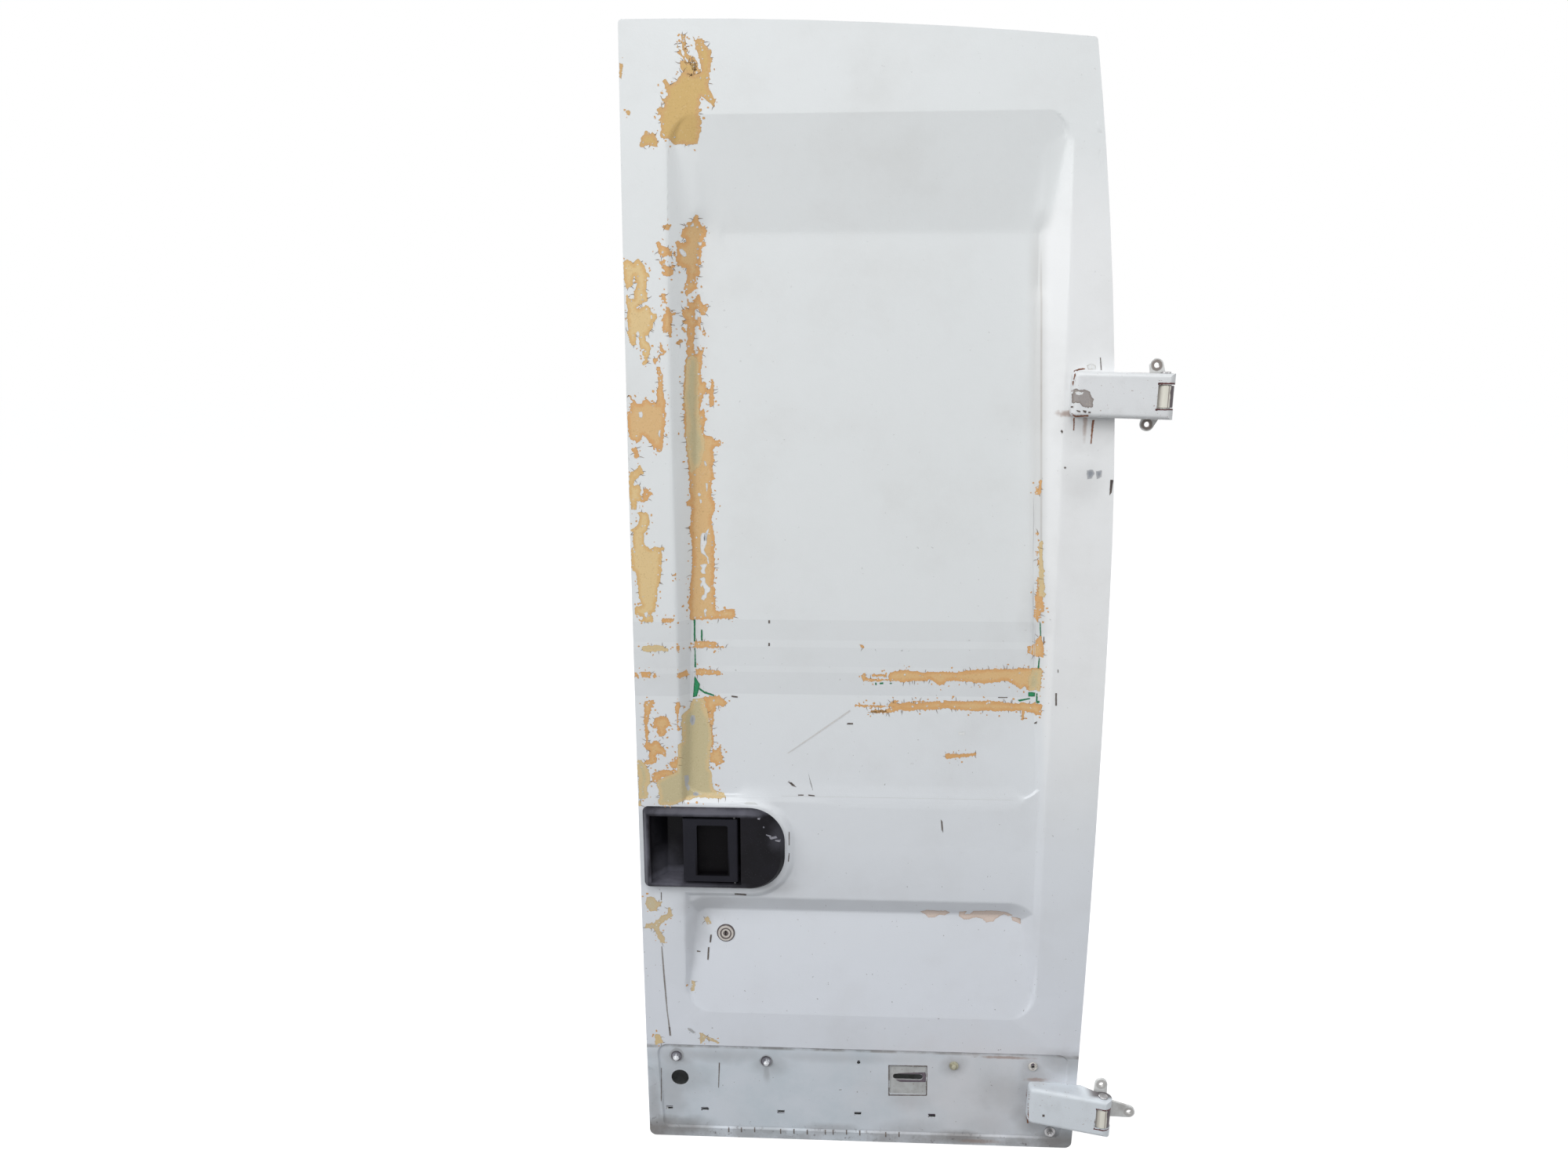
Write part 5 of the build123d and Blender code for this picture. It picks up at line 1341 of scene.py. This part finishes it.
        (686, 1286.7, 688.4, 1284.3, 687.3, 1280.6, 685, 1284.2),
        (693, 1229.2, 695.5, 1228, 694.4, 1225.5, 691.9, 1226.7),
        (673, 950.8, 674.2, 951, 674.6, 938, 673.5, 937.7),
    ],
    "ticks": [
        (144, 19.3, 146, 19.4, 146, 10.4, 144, 10.4),
        (167, 19.8, 169, 19.9, 169, 11.3, 167, 11.2),
        (191.3, 20.3, 193.3, 20.4, 193.4, 12.2, 191.4, 12.1),
        (238.6, 19.5, 240.6, 19.5, 240.7, 10.7, 238.7, 10.6),
        (262.9, 20, 264.9, 20, 265, 11.6, 263, 11.5),
        (287.2, 19.5, 289.2, 19.6, 289.2, 10.8, 287.2, 10.7),
        (320, 20.2, 322, 20.3, 322, 12.1, 320, 12),
        (334.2, 20.5, 336.2, 20.6, 336.3, 12.6, 334.3, 12.5),
        (358.4, 21.2, 360.4, 21.2, 360.5, 13.5, 358.5, 13.5),
        (382.6, 20.6, 384.6, 20.6, 384.6, 12.8, 382.6, 12.7),
        (429.4, 19.7, 431.4, 19.8, 431.5, 11.2, 429.5, 11.1),
        (453.5, 20.2, 455.5, 20.3, 455.5, 12.1, 453.5, 12.1),
    ],
    "scratch": [
        (359, 820, 360, 817, 308, 779, 256, 742, 254, 743, 306, 781),
    ],
    "rustSeams": [
        (
            701.3, 1377.3, 708.4, 1380.8, 718, 1380.8, 718.1, 1379.6, 708.5, 1378.4, 700.7, 1375.1,
            698.4, 1355, 697.8, 1345.4, 697.2, 1345.3, 697.6, 1362,
        ),
        (697.9, 1313.1, 703.4, 1309.7, 721.8, 1311.1, 722.2, 1308.6, 704.5, 1306.9, 697.8, 1310.3),
        (732.4, 1301.4, 736, 1301.4, 734.3, 1285.6, 732.8, 1264.9, 731.6, 1264.9, 731.9, 1285.6),
        (703.2, 1305, 705.6, 1305, 705.2, 1285.6, 704, 1285.6),
        (679, 112, 681, 123, 681, 70, 686, 47, 683, 48, 682, 60),
    ],
    "greyChips": [
        (74.6, 225, 81.6, 223.6, 88.5, 215.9, 84.2, 214.2, 75.9, 220.3),
        (727.4, 1223.1, 737.1, 1224.4, 739.9, 1218.2, 735.3, 1210.8, 729.3, 1209.6),
        (742.1, 1222, 750.6, 1223.2, 751.1, 1213.3, 743.9, 1209.6),
        (89.3, 796.4, 90, 803.2, 93.2, 806.9, 97, 806, 98.6, 799.4, 96.3, 791.4, 92.3, 789.1),
        (79.5, 703.4, 85.2, 702.2, 86.1, 693.7, 83.9, 686.1, 88.2, 679, 84.3, 674.4, 80.1, 685.5),
        (93.2, 670.1, 97.1, 672.7, 102, 671, 103.9, 667.5, 98.3, 665.2, 94, 666.4),
    ],
    "metalArm": [
        (
            698.6, 1347.8, 701.4, 1350.3, 707, 1348.1, 715.1, 1349.3, 722.3, 1345.7, 725, 1338.6,
            728.7, 1335, 726.6, 1329.1, 728.1, 1323.1, 721.1, 1321.9, 711.6, 1324.2, 707.8, 1329,
            702.2, 1330.1, 698.2, 1328.7, 697.3, 1335.8,
        ),
    ],
    "flecksArm": [
        (
            700.6, 1345.6, 705.9, 1346.9, 709.5, 1344.5, 712.9, 1345.7, 711.9, 1342.1, 706.2, 1340.9,
            702.8, 1342,
        ),
    ],
    "chipsArm": [
        (696.8, 1323.7, 699.3, 1324, 699.4, 1321.6, 696.8, 1321.3),
        (703.8, 1318.2, 709.6, 1317, 709.7, 1314.6, 705, 1315.8),
        (713, 1318.3, 719, 1317.1, 718, 1313.5, 714.4, 1314.7),
        (721.4, 1315.9, 724.9, 1315.9, 725, 1313.5, 721.5, 1313.5),
    ],
    "filler": [
        (720.2, 1385.6, 727.3, 1388, 733.4, 1385.6, 734.8, 1379.6, 722.9, 1379.6),
    ],
    "handleScratch": [
        (218.8, 607.2, 228.1, 604.6, 226.7, 601.7, 218.8, 605.1),
        (224.1, 601.6, 236.1, 604.7, 238.7, 600.5, 226.7, 597.4),
        (233.4, 597.5, 243.8, 597.4, 242.6, 593, 234.7, 594.7),
        (204.4, 636.8, 209.7, 636.7, 208.4, 632.7, 204.4, 634),
        (213.6, 621.4, 216.2, 621.4, 216.2, 618.6, 213.6, 618.5),
    ],
    "pinkPatches": [
        (
            484, 450, 497, 455, 515, 453, 529, 454, 536, 449, 527, 443, 518, 444, 509, 439, 500, 438,
            493, 444,
        ),
        (
            552, 452, 565, 454, 561, 446, 570, 446, 576, 455, 596, 456, 614, 457, 632, 454, 644, 447,
            638, 444, 629, 448, 620, 442, 616, 440, 612, 434, 600, 432, 593, 438, 582, 441, 573, 438,
            561, 436, 552, 442,
        ),
        (642.4, 442.9, 657.7, 441.7, 658.3, 431.1, 650.8, 433.7, 644.9, 436.3),
    ],
    "windowRims": [
        (822, 1318, 824, 1318, 826, 1360, 823, 1360),
        (822.5, 1357.4, 849, 1357.4, 849, 1359.8, 822.5, 1359.8),
        (821, 1318.4, 848, 1318.4, 848, 1320.8, 821, 1320.8),
        (790, 76, 793, 76, 795, 116, 792, 116),
        (791.5, 114.2, 818, 114.2, 818, 116.6, 791.5, 116.6),
        (789.5, 75.4, 817, 75.4, 817, 77.8, 789.5, 77.8),
    ],
    "slotShade": [
        (442, 133, 443, 140, 454, 142, 499, 145, 500, 140, 500, 125, 454, 124, 449, 127),
    ],
    # painted shadow lines along the edges round the slot plate
    "plateRimShadow": [
        (433, 159, 502, 160, 502, 158, 433, 157),
        (433, 159, 435, 159, 436, 97, 434, 97),
        (434, 98, 502, 100, 502, 98, 434, 96),
        (500, 160, 502, 160, 503, 99, 501, 99),
    ],
    "holeShade": [
        (684.9, 171.4, 687.6, 172.9, 690.1, 171.7, 691, 163.9, 689.5, 160.5, 686.7, 160.4, 683.5, 165.1),
    ],
    "armDot": [
        (703.8, 87.7, 707.7, 88.5, 707.9, 83.8, 704, 83.1),
    ],
    # painted shade round the strip's slots and one hole
    "slotShadeRims": [
        (30.6, 60.4, 43.3, 60.7, 43.1, 53.8, 30.4, 53.6),
        (95.3, 59.9, 107.9, 60.2, 107.8, 53.4, 95.1, 53.1),
        (233.9, 59.1, 246.5, 59.4, 246.4, 52.6, 233.9, 52.3),
        (373.1, 59.6, 385.6, 59.8, 385.6, 53.1, 373.2, 52.8),
        (506.1, 60.5, 518.5, 60.8, 518.7, 53.8, 506.3, 53.7),
        (
            383.9, 162.8, 382.8, 159.7, 380.2, 158.3, 377.5, 159.5, 376.3, 162.6, 377.4, 165.7, 380.1, 167,
            382.7, 165.8,
        ),
    ],
    "longScratch": [
        (32, 385, 34, 386, 37, 327, 40, 257, 45, 208, 42, 208, 38, 257, 34, 327),
    ],
}


# finishes of the marks: bare filler with a broken brown rim painted as the shadow of the paint's edge, plain
# stains, and painted shade and shadow for slots, holes and the slot plate's edges
filmSet = {
    # core, border, rim, share of the rim that shows, mm from the rim to the core
    "mustardFiller": ((207, 174, 112), (206, 166, 112), (140, 102, 68), 0.34, 7.0),
    "tanFiller": ((219, 182, 130), (215, 166, 110), (146, 104, 68), 0.34, 8.0),
    "footFiller": ((204, 190, 158), (206, 184, 146), (150, 122, 92), 0.34, 7.0),
    "peachFiller": ((224, 196, 144), (218, 180, 122), (150, 112, 76), 0.34, 7.0),
    "khakiFiller": ((198, 186, 148), (214, 190, 144), (146, 116, 80), 0.3, 9.0),
    "oldPaint": ((230, 232, 233), (224, 226, 227), (160, 146, 128), 0.5, 3.0),
    "pinkFiller": ((216, 200, 190), (208, 188, 176), (150, 128, 116), 0.6, 3.0),
    "greenFilm": ((34, 136, 88), (24, 112, 72), (30, 80, 56), 0.3, 3.0),
    "darkStainAndShadow": ((60, 54, 54), (96, 88, 84), (120, 112, 108), 0.5, 1.5),
    "oldGrease": ((74, 34, 36), (88, 44, 44), (58, 28, 34), 0.4, 1.5),
    "slotShade": ((96, 86, 96), (86, 76, 86), (52, 44, 52), 0.7, 2.0),
    "slotRimShade": ((34, 20, 38), (40, 26, 44), (60, 46, 60), 0.4, 1.5),
    "longScratch": ((120, 114, 112), (150, 146, 144), (170, 168, 168), 0.5, 1.0),
    "hairStain": ((112, 88, 70), (128, 104, 84), (96, 74, 58), 0.5, 1.0),
    "rustStain": ((104, 58, 46), (136, 92, 70), (80, 46, 40), 0.5, 3.0),
    "greyStain": ((142, 146, 154), (176, 178, 182), (190, 190, 192), 0.6, 5.0),
    "bareArm": ((158, 152, 150), (146, 138, 134), (84, 68, 60), 0.7, 4.0),
    "paleScuff": ((140, 140, 150), (104, 104, 112), (76, 76, 84), 0.5, 1.0),
    "faintScratch": ((206, 204, 202), (210, 210, 210), (212, 213, 214), 0.5, 1.0),
}
paleGrain = tone(226, 208, 178)


def filmFinish(name, core, border, rim, rimShare, deep):
    core, border, rim = tone(*core), tone(*border), tone(*rim)
    material, tree, shader, point = startMaterial(name)
    inner = addNode(tree, "ShaderNodeAttribute", attribute_name="inner").outputs["Fac"]  # mm from the rim
    cloud = sums(tree, "SUBTRACT", clouds(tree, point, 30.0, 0.3, 0.7), 0.5)
    depth = scaled(tree, cloud, 0.5 * deep, inner)
    colour = blend(tree, ramp(tree, depth, 0.2 * deep, deep), border, core)
    fine = speckle(tree, point, 460.0, 4.0)
    colour = blend(tree, ramp(tree, fine, 0.55, 0.75, 0.0, 0.3), colour, rim)
    pale = speckle(tree, point, 300.0, 2.0)
    colour = blend(tree, ramp(tree, pale, 0.6, 0.72, 0.0, 0.25), colour, paleGrain)
    broken = clouds(tree, point, 90.0, 0.4, 0.6)
    # a broken band of the rim colour along the outline; on the fillers it is painted shadow of the paint's
    # edge
    colour = stain(tree, colour, ramp(tree, inner, 1.1, 0.3), times(tree, broken, rimShare), rim)
    coat(tree, shader, colour, ramp(tree, fine, 0.3, 0.7, 0.58, 0.8))
    roughen(tree, shader, scaled(tree, fine, 0.35, ramp(tree, inner, 1.4, 0.0)), 0.35, 0.0004)
    return material


filmFinishes = {name: filmFinish(name, *values) for name, values in filmSet.items()}
print("mark finishes", len(filmFinishes))


# what the marks lie on
markedNodes = [
    "outer_skin", "upper_hinge_arm", "lower_hinge_arm", "handle_housing", "slot_plate", "foot_grommet",
]


def doorSurface(nodes):
    bm = bmesh.new()
    for node in nodes:
        bm.from_mesh(shown[node].data)
    surface = BVHTree.FromBMesh(bm)
    bm.free()
    return surface


doorFront = doorSurface(markedNodes)


# outlines are walked so that the outside lies to the right
def cornersOf(flat):
    corners = list(zip(flat[0::2], flat[1::2]))
    if sum(u0 * v1 - u1 * v0 for (u0, v0), (u1, v1) in sidesOf(corners)) <= 0:
        corners.reverse()
    return corners


def sidesOf(corners):
    return list(zip(corners, corners[1:] + corners[:1]))


def wander(u, v, ragged):
    slow = noise.noise((u * 0.08, v * 0.08, 3.1))
    quick = noise.noise((u * 0.26, v * 0.26, 8.7))
    tooth = max(0.0, 1.0 - 5.0 * abs(noise.noise((u * 0.21, v * 0.21, 14.3))))
    return ragged * (0.5 * slow + 0.6 * quick + 0.9 * tooth * tooth)


def raggedOutline(flat, ragged, step):
    points = []
    for (u0, v0), (u1, v1) in sidesOf(cornersOf(flat)):
        length = math.hypot(u1 - u0, v1 - v0)
        if length < 0.01:
            continue
        parts = max(1, round(length / step))
        for i in range(parts):
            u = u0 + (u1 - u0) * i / parts
            v = v0 + (v1 - v0) * i / parts
            shift = wander(u, v, ragged)
            points.append(Vector((u + shift * (v1 - v0) / length, v - shift * (u1 - u0) / length)))
    return points


def holds(corners, u, v):
    within = False
    for (u0, v0), (u1, v1) in sidesOf(corners):
        if (v0 > v) != (v1 > v) and u < u0 + (u1 - u0) * (v - v0) / (v1 - v0):
            within = not within
    return within


# crumbs beside the bare patches, flecks of paint left on them, hairlines out of their rims
peelSet = {
    "patches": ["tanTop", "tanColumn", "tanLeft", "khakiLeft", "tanBars", "tanFoot", "khakiFoot"],
    "seed": 7,
    "shortest": 3,  # mm of outline that gets any
    "apart": 9,  # mm of outline for each
    "crumbShare": 0.4,
    "fleckShare": 0.28,
    "crumbAway": (2.5, 9),
    "crumbSize": (0.8, 2.6),
    "fleckAway": (2, 8),
    "fleckSize": (0.7, 2.2),
    "hairLength": (3, 9),
    "hairRoot": 0.45,  # half widths
    "hairMiddle": 0.35,
    "blobCorners": 7,
}


def blob(u, v, size, dice):
    lean, stretch = dice.uniform(0, math.pi), dice.uniform(0.45, 0.9)
    flat = []
    for i in range(peelSet["blobCorners"]):
        turn = 2 * math.pi * i / peelSet["blobCorners"]
        reach = size * dice.uniform(0.6, 1.1)
        a, b = reach * math.cos(turn), reach * stretch * math.sin(turn)
        flat += [u + a * math.cos(lean) - b * math.sin(lean), v + a * math.sin(lean) + b * math.cos(lean)]
    return flat


def hair(u, v, outU, outV, length, dice):
    bend = dice.uniform(-0.5, 0.5)
    midU = u + length * (0.5 * outU - 0.2 * bend * outV)
    midV = v + length * (0.5 * outV + 0.2 * bend * outU)
    endU, endV = u + length * (outU - bend * outV), v + length * (outV + bend * outU)
    root, middle = peelSet["hairRoot"], peelSet["hairMiddle"]
    return [
        u - root * outV, v + root * outU, u + root * outV, v - root * outU,
        midU + middle * outV, midV - middle * outU, endU, endV, midU - middle * outV, midV + middle * outU,
    ]


def scatterAlong(corners, side, s, dice):
    (u0, v0), (u1, v1) = side
    length = math.hypot(u1 - u0, v1 - v0)
    if length < s["shortest"]:
        return
    outU, outV = (v1 - v0) / length, -(u1 - u0) / length
    for _ in range(round(length / s["apart"] + dice.uniform(-0.5, 0.5))):
        t = dice.random()
        u, v = u0 + t * (u1 - u0), v0 + t * (v1 - v0)
        pick = dice.random()
        if pick < s["crumbShare"]:
            away = dice.uniform(*s["crumbAway"])
            spot = (u + away * outU, v + away * outV)
            if not holds(corners, *spot):
                markOutlines["crumbs"].append(blob(*spot, dice.uniform(*s["crumbSize"]), dice))
        elif pick < s["crumbShare"] + s["fleckShare"]:
            away = dice.uniform(*s["fleckAway"])
            spot = (u - away * outU, v - away * outV)
            if holds(corners, *spot):
                markOutlines["peelFlecks"].append(blob(*spot, dice.uniform(*s["fleckSize"]), dice))
        else:
            markOutlines["hairs"].append(hair(u, v, outU, outV, dice.uniform(*s["hairLength"]), dice))


def scatterPeel(s):
    dice = random.Random(s["seed"])
    markOutlines.update({"crumbs": [], "peelFlecks": [], "hairs": []})
    for flat in [flat for key in s["patches"] for flat in markOutlines[key]]:
        corners = cornersOf(flat)
        for side in sidesOf(corners):
            scatterAlong(corners, side, s, dice)


scatterPeel(peelSet)
print("scattered", {key: len(markOutlines[key]) for key in ("crumbs", "peelFlecks", "hairs")})


# marks are thin films laid on the door's front, and ride with the leaf
markPieces = [
    # name, outlines, finish, lift in mm, raggedness in mm, spacing in mm
    ("mustardPatches", ["tanTop"], "mustardFiller", 0.2, 2.6, 1.6),
    ("tanPatches", ["tanColumn", "tanLeft", "tanBars"], "tanFiller", 0.2, 2.6, 1.6),
    ("footPatches", ["tanFoot"], "footFiller", 0.2, 2.6, 1.6),
    ("peachPatches", ["khakiLeft"], "peachFiller", 0.28, 2.0, 1.6),
    ("khakiPatches", ["khakiColumn", "khakiBars", "khakiFoot"], "khakiFiller", 0.3, 2.0, 1.6),
    ("pinkPatches", ["pinkPatches"], "pinkFiller", 0.25, 1.2, 1.4),
    ("peelCrumbs", ["crumbs"], "tanFiller", 0.24, 0.4, 1.2),
    ("paintFlecks", ["whiteFlecks", "flecksArm", "filler", "peelFlecks"], "oldPaint", 0.42, 0.6, 1.5),
    ("peelHairs", ["hairs"], "hairStain", 0.46, 0.0, 1.5),
    ("greenRemains", ["greenMarks"], "greenFilm", 0.36, 0.4, 1.5),
    ("darkMarks", ["darkMarks", "ticks", "chipsArm"], "darkStainAndShadow", 0.46, 0.2, 1.5),
    ("rustSeams", ["rustSeams"], "rustStain", 0.34, 0.7, 1.4),
    ("windowGrease", ["windowRims"], "oldGrease", 0.3, 0.5, 1.2),
    ("slotShade", ["slotShade", "holeShade"], "slotShade", 0.25, 0.2, 1.2),
    # painted shadow round the slot plate, and a dark dot on the lower arm, in the dark stain colour
    ("plateRimShadow", ["plateRimShadow", "armDot"], "darkStainAndShadow", 0.3, 0.3, 1.2),
    # painted shade round the small slots and a hole in the strip
    ("slotShadeRims", ["slotShadeRims"], "slotRimShade", 0.3, 0.2, 1.2),
    ("longScratch", ["longScratch"], "longScratch", 0.3, 0.2, 1.6),
    ("greyChips", ["greyChips"], "greyStain", 0.4, 0.8, 1.5),
    ("bareArmPatch", ["metalArm"], "bareArm", 0.3, 1.2, 1.5),
    ("handleScuffs", ["handleScratch"], "paleScuff", 0.3, 0.3, 1.2),
    ("faintScratch", ["scratch"], "faintScratch", 0.3, 0.2, 2.0),
]
filmStep = 0.012  # a film breaks off where the front steps by more


def rimTree(outline):
    tree = KDTree(len(outline))
    for i, point in enumerate(outline):
        tree.insert((point.x, point.y, 0.0), i)
    tree.balance()
    return tree


# points within an outline's box, in staggered rows, clear of the rim
def fillPoints(outline, rim, step):
    lowU, highU = min(p.x for p in outline), max(p.x for p in outline)
    lowV, highV = min(p.y for p in outline), max(p.y for p in outline)
    points = []
    for i in range(1, int((highU - lowU) / step) + 1):
        for j in range(1, int((highV - lowV) / step) + 1):
            point = (lowU + (i + 0.5 * (j % 2)) * step, lowV + j * step)
            if rim.find((*point, 0.0))[2] > 0.55 * step:
                points.append(Vector(point))
    return points


def layFilm(bm, layer, outline, lift, step):
    rim = rimTree(outline)
    points = outline + fillPoints(outline, rim, step)
    spots, _, faces, _, _, _ = delaunay_2d_cdt(points, [], [list(range(len(outline)))], 1, 0.0001)
    made = []
    for spot in spots:
        hit, normal = frontHit(doorFront, *onDoor(spot.x, spot.y))
        made.append(bm.verts.new(hit + normal * lift / 1000) if hit else None)
        if hit:
            made[-1][layer] = rim.find((spot.x, spot.y, 0.0))[2]
    for face in faces:
        verts = [made[i] for i in face]
        if None not in verts:
            depths = [vert.co.y for vert in verts]
            if max(depths) - min(depths) < filmStep:
                bm.faces.new(verts).smooth = True


def drawMarks(name, keys, finish, lift, ragged, step):
    bm = bmesh.new()
    layer = bm.verts.layers.float.new("inner")
    for flat in [flat for key in keys for flat in markOutlines[key]]:
        layFilm(bm, layer, raggedOutline(flat, ragged, step), lift, step)
    bmesh.ops.delete(bm, geom=[vert for vert in bm.verts if not vert.link_faces], context="VERTS")
    bmesh.ops.recalc_face_normals(bm, faces=bm.faces)
    bmesh.ops.reverse_faces(bm, faces=[face for face in bm.faces if face.normal.y > 0])
    triangles = len(bm.faces)
    addPiece(name, bm, "leaf", filmFinishes[finish])
    return triangles


for markValues in markPieces:
    print(markValues[0], drawMarks(*markValues))
